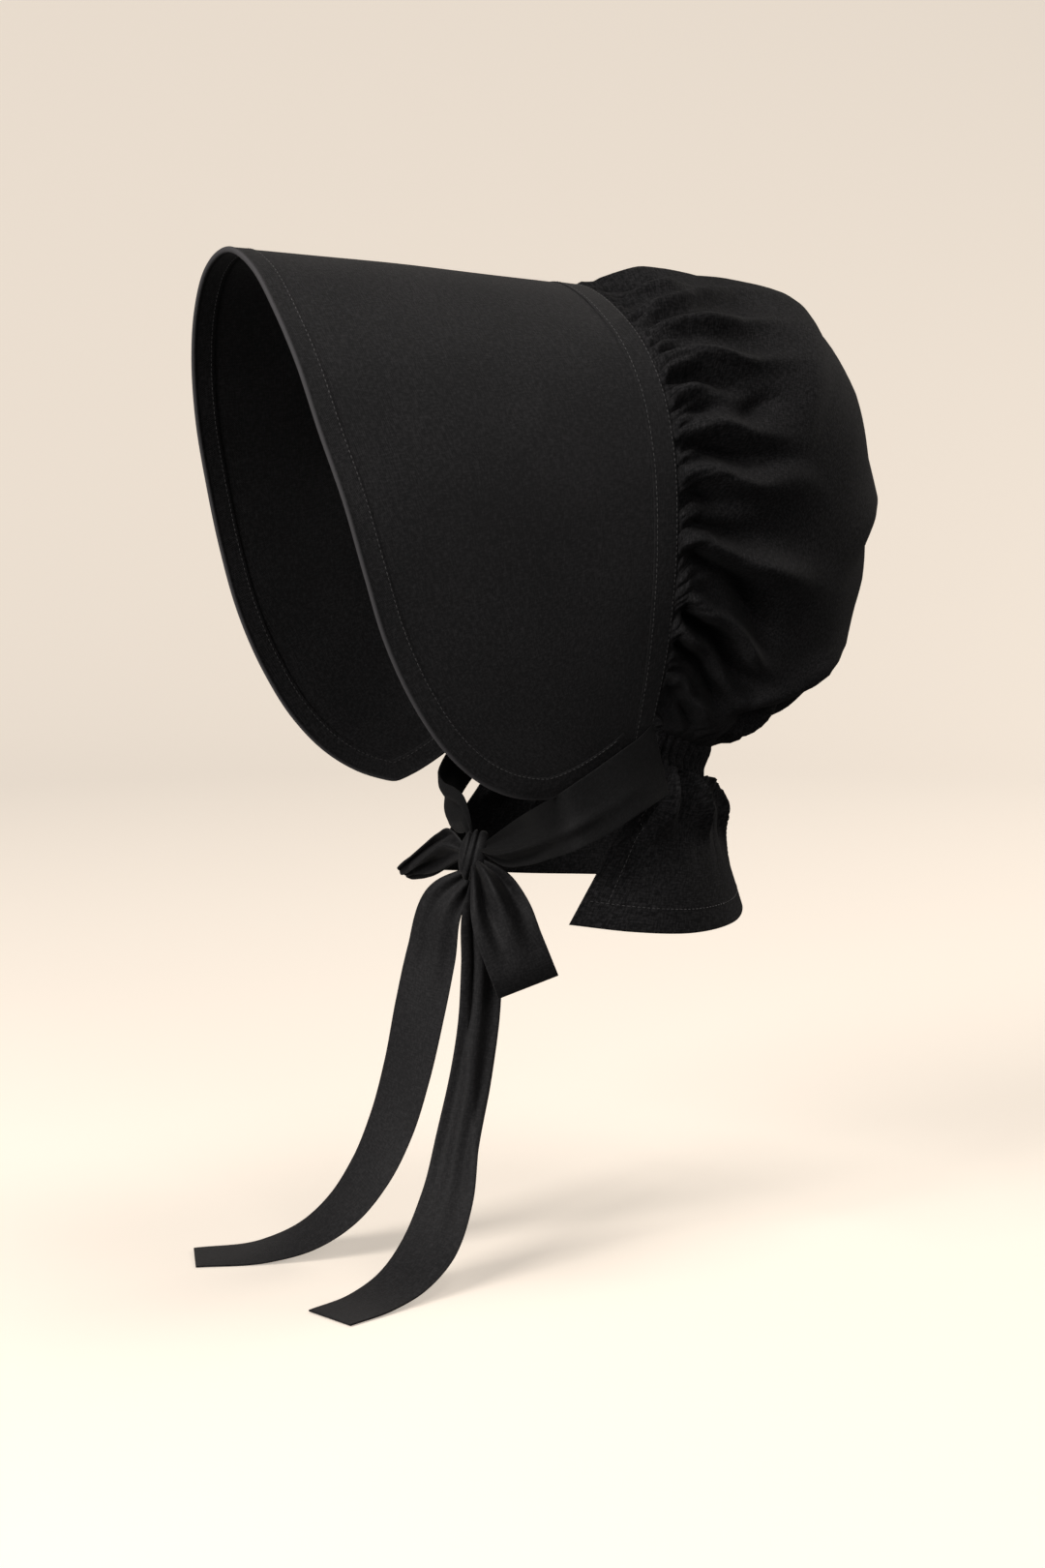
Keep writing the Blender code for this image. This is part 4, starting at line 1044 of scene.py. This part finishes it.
def edge_cotton():
    """The brim's cotton on the strip over its edge, painted paler along the fold: a painted highlight on the rolled
    edge, with some wear.
    """
    made = bpy.data.materials.get("edge cotton")
    if made:
        return made
    material = cotton_material("edge cotton")
    tree = material.node_tree
    colour = tree.nodes["Principled BSDF"].inputs["Base Color"]
    # Painted highlight with some wear: paler near the middle of the strip, where it turns round the brim's edge.
    apart = math_of(tree, "SUBTRACT", split_of(tree, cloth_place(tree))["Y"], STRIP_FLAT / 2)
    worn = spread_of(tree, math_of(tree, "ABSOLUTE", apart), HIGHLIGHT_AND_WEAR_END, HIGHLIGHT_AND_WEAR_FULL)
    paler = (*(part * HIGHLIGHT_AND_WEAR_PALER for part in bpy.context.scene.bonnet_colours.bloom), 1.0)
    tree.links.new(mix_of(tree, worn, colour.links[0].from_socket, paler), colour)
    return material


def thread_material():
    """Sewing thread, paler in the patches where it is worn."""
    made = bpy.data.materials.get("sewing thread")
    if made:
        return made
    colours = bpy.context.scene.bonnet_colours
    material, tree, shader = blank_material("sewing thread")
    worn = spread_of(tree, noise_of(tree, object_place(tree), 55.0), 0.42, 0.66)
    paler = math_of(tree, "MULTIPLY", worn, noise_of(tree, object_place(tree), 3000.0))
    fed(tree, shader, {"Base Color": mix_of(tree, paler, (*colours.bloom, 1.0), (*colours.thread, 1.0))})
    shader.inputs["Roughness"].default_value = 0.45
    shader.inputs["Sheen Weight"].default_value = 0.2
    return material


def surface_flat(round_share, deep_share, wide, long):
    return np.stack((round_share * wide, deep_share * long), axis=1)


def brim_border(count_round, count_side):
    """Places round the brim's free edge, from the near end of the seam round to the far one."""
    inner_end = 1 - EDGE_END / brim_length(np.array([0.0]))[0]
    sides = np.linspace(inner_end, 0.0, count_side, endpoint=False)
    rounds = np.linspace(0.0, 1.0, count_round)
    round_share = np.concatenate((np.zeros(count_side), rounds, np.ones(count_side)))
    deep_share = np.concatenate((sides, np.zeros(count_round), sides[::-1]))
    return brim_point(round_share, deep_share)


def smooth_line(points, passes):
    """The points of a line, each drawn halfway to its neighbours' middle as many times as passes says."""
    for _ in range(passes):
        points[1:-1] = points[1:-1] / 2 + (points[:-2] + points[2:]) / 4
    return points


class BrimEdge:
    """The strip folded over the brim's free edge: where each place of it lies, by its distance from that edge."""

    def __init__(self, count_round=420, count_side=44):
        mesh, _, _ = cloth_grid(np.linspace(0, 1, 261), np.linspace(0, 1, 41), brim_point, outwards_from=HEAD_MIDDLE)
        self.surface = BVHTree.FromBMesh(mesh)
        mesh.free()
        border = smooth_line(brim_border(count_round, count_side), 6)
        self.border = [Vector(point) for point in border]
        self.ways = ways_along(border)
        ahead = np.gradient(border, self.ways, axis=0)
        self.ahead = [Vector(step).normalized() for step in smooth_line(ahead, 10)]

    def flat_spot(self, number, inwards_by, side, lift):
        """A place on the flat part of the strip and the way its face looks."""
        spot, normal = self.surface.find_nearest(self.border[number])[:2]
        inwards = self.ahead[number].cross(normal).normalized()
        spot, normal = self.surface.find_nearest(spot + inwards * inwards_by)[:2]
        return spot + normal * lift * side, normal * side

    def rim_spot(self, number, turn, lift):
        """A place on the strip's round edge, turned from the outer face (90 degrees) to the inner one (-90)."""
        spot, normal = self.surface.find_nearest(self.border[number])[:2]
        inwards = self.ahead[number].cross(normal).normalized()
        return spot + normal * lift * math.sin(turn) - inwards * lift * math.cos(turn)


def make_brim():
    sizes = bpy.context.scene.bonnet_sizes
    cotton = cotton_material("brim cotton")
    mesh, round_share, deep_share = cloth_grid(
        np.linspace(0, 1, BRIM_ROUND + 1), np.linspace(0, 1, BRIM_DEEP + 1), brim_point, outwards_from=HEAD_MIDDLE
    )
    brim = cloth_object("brim_cloth", mesh, surface_flat(round_share, deep_share, *BRIM_FLAT), BRIM_THICK, cotton)
    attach(brim, "root")
    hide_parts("brim")

    edge = BrimEdge()
    thick = sizes.strip_thick
    lift = BRIM_THICK / 2 + STRIP_ROOM + thick / 2
    flats = np.append(np.linspace(sizes.edge_strip, 0.0, STRIP_STOPS, endpoint=False), RIM_START)
    turns = np.radians(np.linspace(90, -90, RIM_TURNS))
    stops = len(flats) * 2 + len(turns)

    def strip_place(along, across):
        points = []
        for along_share, across_share in zip(along, across):
            number = int(round(along_share * (len(edge.border) - 1)))
            stop = int(round(across_share * (stops - 1)))
            if stop < len(flats):
                points.append(edge.flat_spot(number, flats[stop], 1, lift)[0])
            elif stop < len(flats) + len(turns):
                points.append(edge.rim_spot(number, turns[stop - len(flats)], lift + RIM_ROLL))
            else:
                points.append(edge.flat_spot(number, flats[stops - 1 - stop], -1, lift)[0])
        return np.array(points)

    mesh, along, across = cloth_grid(np.linspace(0, 1, len(edge.border)), np.linspace(0, 1, stops), strip_place)
    flat_places = surface_flat(along, across, edge.ways[-1], STRIP_FLAT)
    strip = cloth_object("brim_edge_strip", mesh, flat_places, thick, edge_cotton(), rim=STRIP_RIM)
    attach(strip, "root")
    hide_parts("brim_binding")

    def band_place(share, depth):
        length = brim_length(share)
        return brim_point(share, 1 + (BAND_OVERLAP * depth - sizes.seam_band * (1 - depth)) / length)

    mesh, share, depth = cloth_grid(
        np.linspace(0, 1, 421), np.linspace(0, 1, 11), band_place,
        lambda points, share, depth: np.full(len(points), lift), HEAD_MIDDLE,
    )
    flat_places = surface_flat(share, depth, BAND_LONG, sizes.seam_band)
    band = cloth_object("seam_band", mesh, flat_places, thick, cotton, rim=STRIP_RIM)
    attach(band, "root")
    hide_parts("crown_band")

    numbers = range(4, len(edge.border) - 4)
    rows = []
    for side, inset in STRIP_STITCHES:
        spots = [edge.flat_spot(number, sizes.edge_strip - inset, side, lift + thick / 2) for number in numbers]
        rows.append((np.array([spot for spot, _ in spots]), np.array([way for _, way in spots])))
    shares = np.linspace(0.004, 0.996, 500)
    for depth in BAND_STITCHES:
        rows.append(row_on(band_place, shares, np.full_like(shares, depth), lift + thick / 2, HEAD_MIDDLE))
    stitches = stitch_object("brim_topstitching", rows, thread_material())


def make_crown():
    sizes = bpy.context.scene.bonnet_sizes

    def lift(points, round_share, deep_share):
        return crown_lift(points, round_share, deep_share, sizes.gather_height, sizes.gather_count, sizes.fold_depth)

    mesh, round_share, deep_share = cloth_grid(
        np.linspace(0, 1, CROWN_ROUND + 1), np.linspace(0, 1, CROWN_DEEP + 1) ** CROWN_ROW_SPREAD,
        crown_cloth_point, lift, HEAD_MIDDLE,
    )
    flat_places = surface_flat(round_share, deep_share, *CROWN_FLAT)
    # Its cotton is painted darker than the brim's, as painted shade.
    crown = cloth_object("crown_cloth", mesh, flat_places, CROWN_THICK, cotton_material("crown cotton with painted shade"))
    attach(crown, "root")
    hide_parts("crown")


def make_neck_edge():
    sizes = bpy.context.scene.bonnet_sizes
    # The casing and curtain take the crown's cotton, painted darker as painted shade.
    cotton = cotton_material("crown cotton with painted shade")
    mesh, round_share, deep_share = cloth_grid(
        np.linspace(0, 1, CASING_ROUND + 1), np.linspace(0, 1, CASING_DEEP + 1), casing_point,
        lambda points, share, depth: casing_lift(share, depth, sizes.gather_height * CASING_PLEAT_SHARE), NECK_MIDDLE,
    )
    flat_places = surface_flat(round_share, deep_share, *CASING_FLAT)
    casing = cloth_object("casing_cloth", mesh, flat_places, CASING_THICK, cotton)
    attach(casing, "root")
    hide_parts("neck_casing")

    mesh, round_share, deep_share = cloth_grid(
        np.linspace(0, 1, CURTAIN_ROUND + 1), np.linspace(0, 1, CURTAIN_DEEP + 1),
        curtain_point, curtain_lift, NECK_MIDDLE,
    )
    surface = BVHTree.FromBMesh(mesh)
    flat_places = surface_flat(round_share, deep_share, *CURTAIN_FLAT)
    curtain = cloth_object("curtain_cloth", mesh, flat_places, CURTAIN_THICK, cotton, rim=0.0002)
    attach(curtain, "root")
    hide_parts("neck_curtain")
    wide, long = CURTAIN_FLAT
    hem, front = 1 - HEM_WIDE / long, FRONT_HEM_WIDE / wide
    lines = [curtain_point(np.linspace(0.01, 0.99, 400), np.full(400, hem))]
    lines += [curtain_point(np.full(60, share), np.linspace(0.12, hem, 60)) for share in (front, 1 - front)]
    rows = [snapped(surface, line, CURTAIN_THICK / 2, NECK_MIDDLE) for line in lines]
    stitches = stitch_object("curtain_topstitching", rows, thread_material())


def ribbon_place(stations, pleats, phase):
    """Places of a ribbon along its stations. Where it narrows, its width goes into pleats."""
    route = smooth_table(stations)

    def place(across, along):
        x, y, z, width, facing, tilt, bow = route(along).T
        before = route(np.clip(along - LOOK_AHEAD, 0, 1))[:, :3]
        after = route(np.clip(along + LOOK_AHEAD, 0, 1))[:, :3]
        ahead = unit(after - before)
        compass, rise = np.radians(facing), np.radians(tilt)
        face = np.stack((np.sin(compass) * np.cos(rise), -np.cos(compass) * np.cos(rise), np.sin(rise)), axis=1)
        aside = unit(np.cross(ahead, face))
        face = np.cross(aside, ahead)
        side = across - 0.5
        spare = np.sqrt(np.clip(RIBBON_WIDE / width - 1, 0, 2.0))
        depth = width / (math.pi * pleats) * spare
        wave = np.cos(2 * math.pi * (pleats * across + phase))
        lift = bow * (1 - 4 * side * side) + depth * wave * 0.5
        return np.stack((x, y, z), axis=1) + aside * (width * side)[:, None] + face * lift[:, None]

    return place


def ribbon_between(rows, pleats):
    """Places of a ribbon between its two edges, with lengthwise pleats whose height the rows give."""
    flat_rows = [(*row.upper, *row.lower, row.pleat) for row in rows]
    middles = np.array([np.add(row.upper, row.lower) / 2 for row in rows])
    ways = ways_along(middles)
    edges = smooth_table(flat_rows, ways / ways[-1])
    profile = smooth_table([(height,) for _, height in pleats], [share for share, _ in pleats])

    def place(across, along):
        upper, lower, pleat = np.split(edges(along), (3, 6), axis=1)
        before, after = (edges(np.clip(along + shift, 0, 1)) for shift in (-LOOK_AHEAD, LOOK_AHEAD))
        ahead = unit((after - before)[:, :3] + (after - before)[:, 3:6])
        face = unit(np.cross(lower - upper, ahead))
        return upper + (lower - upper) * across[:, None] + face * pleat * profile(across)

    return place


def creased(place, line, near_slope, far_slope):
    """The same ribbon bent along a crease. line gives the crease's share across, from the left, along it."""

    def creased_place(across, along):
        crease = np.interp(along, *zip(*line))
        fade = 1 - soft_step(along, *CREASE_FADE)
        ahead = place(across, np.clip(along + LOOK_AHEAD, 0, 1)) - place(across, np.clip(along - LOOK_AHEAD, 0, 1))
        left, right = (np.clip(across + look, 0, 1) for look in (-CREASE_LOOK, CREASE_LOOK))
        face = unit(np.cross(place(right, along) - place(left, along), ahead))
        beyond = 1 - across - crease
        beyond = (beyond + np.sqrt(beyond**2 + CREASE_ROUND**2)) / 2
        rise = near_slope * (1 - across - beyond) - far_slope * beyond
        middle = near_slope * (crease - crease**2 / 2) - far_slope * (1 - crease) ** 2 / 2
        wide = np.linalg.norm(place(np.ones_like(along), along) - place(np.zeros_like(along), along), axis=1)
        return place(across, along) + face * ((rise - middle) * fade * wide)[:, None]

    return creased_place


def make_ribbon(name, node, place, material):
    """One ribbon, laid over place(across, along)."""
    way = place(np.full(200, 0.5), np.linspace(0, 1, 200))
    length = np.linalg.norm(np.diff(way, axis=0), axis=1).sum()
    mesh, across, along = cloth_grid(
        np.linspace(0, 1, RIBBON_ACROSS + 1), np.linspace(0, 1, int(length / RIBBON_STEP) + 1), place
    )
    flat_places = surface_flat(across, along, RIBBON_WIDE, length)
    ribbon = cloth_object(name, mesh, flat_places, RIBBON_THICK, cotton_material(material), rim=0.00025)
    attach(ribbon, "root")
    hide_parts(node)


def make_knot():
    """The ribbon wound round the middle of the bow, with its creases."""
    mesh = bmesh.new()
    bmesh.ops.create_uvsphere(mesh, u_segments=72, v_segments=48, radius=1.0)
    flat_places = []
    for vert in mesh.verts:
        along, turn = vert.co.x, math.atan2(vert.co.z, -vert.co.y)
        boxy = max(1 - abs(along) ** KNOT_BOXINESS, 0.0) ** 0.5
        ring = math.hypot(vert.co.y, vert.co.z) or 1e-6
        lean = along - KNOT_LEAN * math.sin(turn)
        crease = sum(depth * math.exp(-(((lean - spot) / wide) ** 2)) for spot, depth, wide in KNOT_CREASES)
        swell = boxy * (1 + crease) / ring
        vert.co = (along + KNOT_SKEW * vert.co.z * swell, vert.co.y * swell, vert.co.z * swell)
        flat_places.append((along * KNOT_FLAT, turn * KNOT_FLAT))
    bmesh.ops.scale(mesh, vec=KNOT_RADII, verts=mesh.verts)
    bmesh.ops.rotate(mesh, verts=mesh.verts, cent=(0, 0, 0), matrix=Matrix.Rotation(math.radians(KNOT_TURN), 3, "Z"))
    bmesh.ops.translate(mesh, vec=KNOT_CENTRE, verts=mesh.verts)
    knot = object_from("bow_knot_cloth", mesh, cotton_material("ribbon cotton"), np.array(flat_places))
    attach(knot, "root")
    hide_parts("bow_knot")


def aimed(place, target):
    """The rotation of a light or camera that stands at the place and looks at the target."""
    return (Vector(target) - Vector(place)).to_track_quat("-Z", "Y").to_euler()


def make_stage():
    """The floor, the lights and the camera. The floor neither shades the bonnet nor shows in it."""
    scene = bpy.context.scene
    floor_z = solid_low.z - FLOOR_DROP
    profile = [(0.0, 0.0), (FLOOR_REACH, 0.0)]
    for turn in np.radians(range(6, 91, 6)):
        profile.append((FLOOR_REACH + FLOOR_BEND * math.sin(turn), FLOOR_BEND - FLOOR_BEND * math.cos(turn)))
    profile += [(FLOOR_REACH + FLOOR_BEND, WALL_TALL)]
    mesh = bmesh.new()
    spots = [mesh.verts.new((reach, 0.0, floor_z + height)) for reach, height in profile]
    for first, second in zip(spots, spots[1:]):
        mesh.edges.new((first, second))
    bmesh.ops.spin(
        mesh, geom=mesh.verts[:] + mesh.edges[:], axis=(0, 0, 1), cent=(0, 0, 0), steps=96,
        angle=2 * math.pi, use_merge=True,
    )
    bmesh.ops.remove_doubles(mesh, verts=mesh.verts, dist=1e-5)
    bmesh.ops.recalc_face_normals(mesh, faces=mesh.faces)
    paper, _, shader = blank_material("pale paper")
    shader.inputs["Base Color"].default_value = (*scene.bonnet_colours.floor, 1.0)
    shader.inputs["Roughness"].default_value = 0.9
    shader.inputs["Specular IOR Level"].default_value = 0.1
    shader.inputs["Emission Color"].default_value = (*scene.bonnet_colours.floor, 1.0)
    shader.inputs["Emission Strength"].default_value = FLOOR_GLOW
    floor = object_from("studio_floor", mesh, paper)
    floor.visible_shadow = False
    floor.visible_diffuse = False
    floor.visible_glossy = False

    world = bpy.data.worlds.new("studio light")
    world.use_nodes = True
    background = world.node_tree.nodes["Background"]
    background.inputs["Color"].default_value = ROOM_COLOUR
    background.inputs["Strength"].default_value = ROOM_LIGHT
    scene.world = world

    for light in LIGHTS:
        lamp = bpy.data.lights.new(light.name, "AREA")
        lamp.shape = "SQUARE"
        lamp.size = light.size
        lamp.energy = light.power
        lamp.color = light.colour
        holder = bpy.data.objects.new(light.name, lamp)
        holder.location = light.place
        holder.rotation_euler = aimed(light.place, light.target)
        holder.visible_camera = False
        scene.collection.objects.link(holder)

    lens = bpy.data.cameras.new("camera")
    lens.lens = CAMERA_LENS
    lens.sensor_width = 36.0
    lens.clip_start = 0.01
    camera = bpy.data.objects.new("camera", lens)
    camera.location = CAMERA_PLACE
    camera.rotation_euler = aimed(CAMERA_PLACE, CAMERA_TARGET)
    scene.collection.objects.link(camera)
    scene.camera = camera
    scene.view_settings.view_transform = "Standard"
    scene.view_settings.look = "None"


def length_property(name, description, default, **limits):
    return bpy.props.FloatProperty(name=name, description=description, default=default, unit="LENGTH", **limits)


def colour_property(name, description, default):
    return bpy.props.FloatVectorProperty(
        name=name, description=description, subtype="COLOR", default=default, min=0.0, max=1.0
    )


class BonnetSizes(bpy.types.PropertyGroup):
    gather_height: length_property(
        "Gather Height", "How far the small gathers stand up at the seam", 0.0032, min=0.0, max=0.006
    )
    gather_count: bpy.props.IntProperty(
        name="Gathers", description="How many gathers there are round the seam", default=112, min=20, max=120
    )
    fold_depth: bpy.props.FloatProperty(
        name="Fold Depth", description="How deep the crown's folds are", default=2.4, min=0.0, max=3.0
    )
    strip_thick: length_property(
        "Strip Thickness", "Thickness of the folded strips at the brim's edge and seam", 0.0004, min=0.0002, max=0.001
    )
    edge_strip: length_property(
        "Edge Strip", "Width of the strip folded over the brim's edge", 0.0100, min=0.006, max=0.02
    )
    seam_band: length_property(
        "Seam Band", "Width of the stitched band in front of the crown's seam", 0.0125, min=0.006, max=0.02
    )
    stitch_step: length_property("Stitch Step", "Distance from one stitch to the next", 0.0026)
    thread: length_property("Thread", "Thickness of the sewing thread", 0.00042)


class BonnetColours(bpy.types.PropertyGroup):
    cotton: colour_property("Cotton", "Colour of the brim, crown, curtain and ties", (0.0078, 0.0078, 0.0085))
    bloom: colour_property(
        "Bloom", "Paler colour of the cloth's nap where it catches dust and light", (0.026, 0.0252, 0.0268)
    )
    ribbon: colour_property("Ribbon", "Colour of the bow and its hanging ends", (0.0088, 0.0087, 0.0096))
    thread: colour_property("Thread", "Colour of the topstitching thread", (0.050, 0.048, 0.047))
    floor: colour_property("Floor", "Colour of the studio floor", (0.80, 0.72, 0.63))


class BONNET_OT_brim(bpy.types.Operator):
    """Builds the stiff brim with its folded edge, seam band and topstitching"""

    bl_idname = "bonnet.brim"
    bl_label = "Brim"

    def execute(self, context):
        make_brim()
        return {"FINISHED"}


class BONNET_OT_crown(bpy.types.Operator):
    """Builds the gathered, puffed crown"""

    bl_idname = "bonnet.crown"
    bl_label = "Crown"

    def execute(self, context):
        make_crown()
        return {"FINISHED"}


class BONNET_OT_neck(bpy.types.Operator):
    """Builds the drawn-in casing and the curtain that hangs from it"""

    bl_idname = "bonnet.neck"
    bl_label = "Neck Edge"

    def execute(self, context):
        make_neck_edge()
        return {"FINISHED"}


class BONNET_OT_ribbons(bpy.types.Operator):
    """Builds the two ties, the bow and its hanging ends"""

    bl_idname = "bonnet.ribbons"
    bl_label = "Ribbons"

    def execute(self, context):
        make_knot()
        near_tie, far_tie = ribbon_between(NEAR_TIE, NEAR_TIE_PLEATS), ribbon_between(FAR_TIE, FAR_TIE_PLEATS)
        near_loop, far_loop = ribbon_between(NEAR_LOOP, NEAR_LOOP_PLEATS), ribbon_between(FAR_LOOP, FAR_LOOP_PLEATS)
        front_tail = ribbon_place(FRONT_TAIL, TAIL_PLEATS, FRONT_TAIL_PHASE)
        back_tail = ribbon_place(BACK_TAIL, TAIL_PLEATS, BACK_TAIL_PHASE)
        back_tail = creased(back_tail, BACK_TAIL_CREASE, *BACK_TAIL_SLOPES)
        # The ties' cotton is painted darker, as painted shade, and the tails' ribbon paler, as painted light.
        make_ribbon("near_tie", "tie_left", near_tie, "tie cotton with painted shade")
        make_ribbon("far_tie", "tie_right", far_tie, "tie cotton with painted shade")
        make_ribbon("near_loop", "bow_loop_left", near_loop, "ribbon cotton")
        make_ribbon("far_loop", "bow_loop_right", far_loop, "ribbon cotton")
        make_ribbon("front_tail", "tail_front", front_tail, "tail cotton with painted light")
        make_ribbon("back_tail", "tail_back", back_tail, "tail cotton with painted light")
        return {"FINISHED"}


class BONNET_OT_stage(bpy.types.Operator):
    """Builds the pale studio floor, the soft lights and the camera"""

    bl_idname = "bonnet.stage"
    bl_label = "Stage"

    def execute(self, context):
        make_stage()
        return {"FINISHED"}


class BONNET_PT_panel(bpy.types.Panel):
    bl_idname = "BONNET_PT_panel"
    bl_label = "Pioneer Bonnet"
    bl_space_type = "VIEW_3D"
    bl_region_type = "UI"
    bl_category = "Bonnet"

    def draw(self, context):
        layout = self.layout
        for group in (context.scene.bonnet_sizes, context.scene.bonnet_colours):
            for name in group.__annotations__:
                layout.prop(group, name)
        for operator in OPERATORS:
            layout.operator(operator.bl_idname)


OPERATORS = (BONNET_OT_brim, BONNET_OT_crown, BONNET_OT_neck, BONNET_OT_ribbons, BONNET_OT_stage)
CLASSES = (BonnetSizes, BonnetColours, *OPERATORS, BONNET_PT_panel)


def register():
    for item in CLASSES:
        bpy.utils.register_class(item)
    bpy.types.Scene.bonnet_sizes = bpy.props.PointerProperty(type=BonnetSizes)
    bpy.types.Scene.bonnet_colours = bpy.props.PointerProperty(type=BonnetColours)


def unregister():
    del bpy.types.Scene.bonnet_colours
    del bpy.types.Scene.bonnet_sizes
    for item in reversed(CLASSES):
        bpy.utils.unregister_class(item)


def main():
    register()
    bpy.ops.bonnet.brim()
    bpy.ops.bonnet.crown()
    bpy.ops.bonnet.neck()
    bpy.ops.bonnet.ribbons()
    bpy.ops.bonnet.stage()


if __name__ == "__main__":
    main()
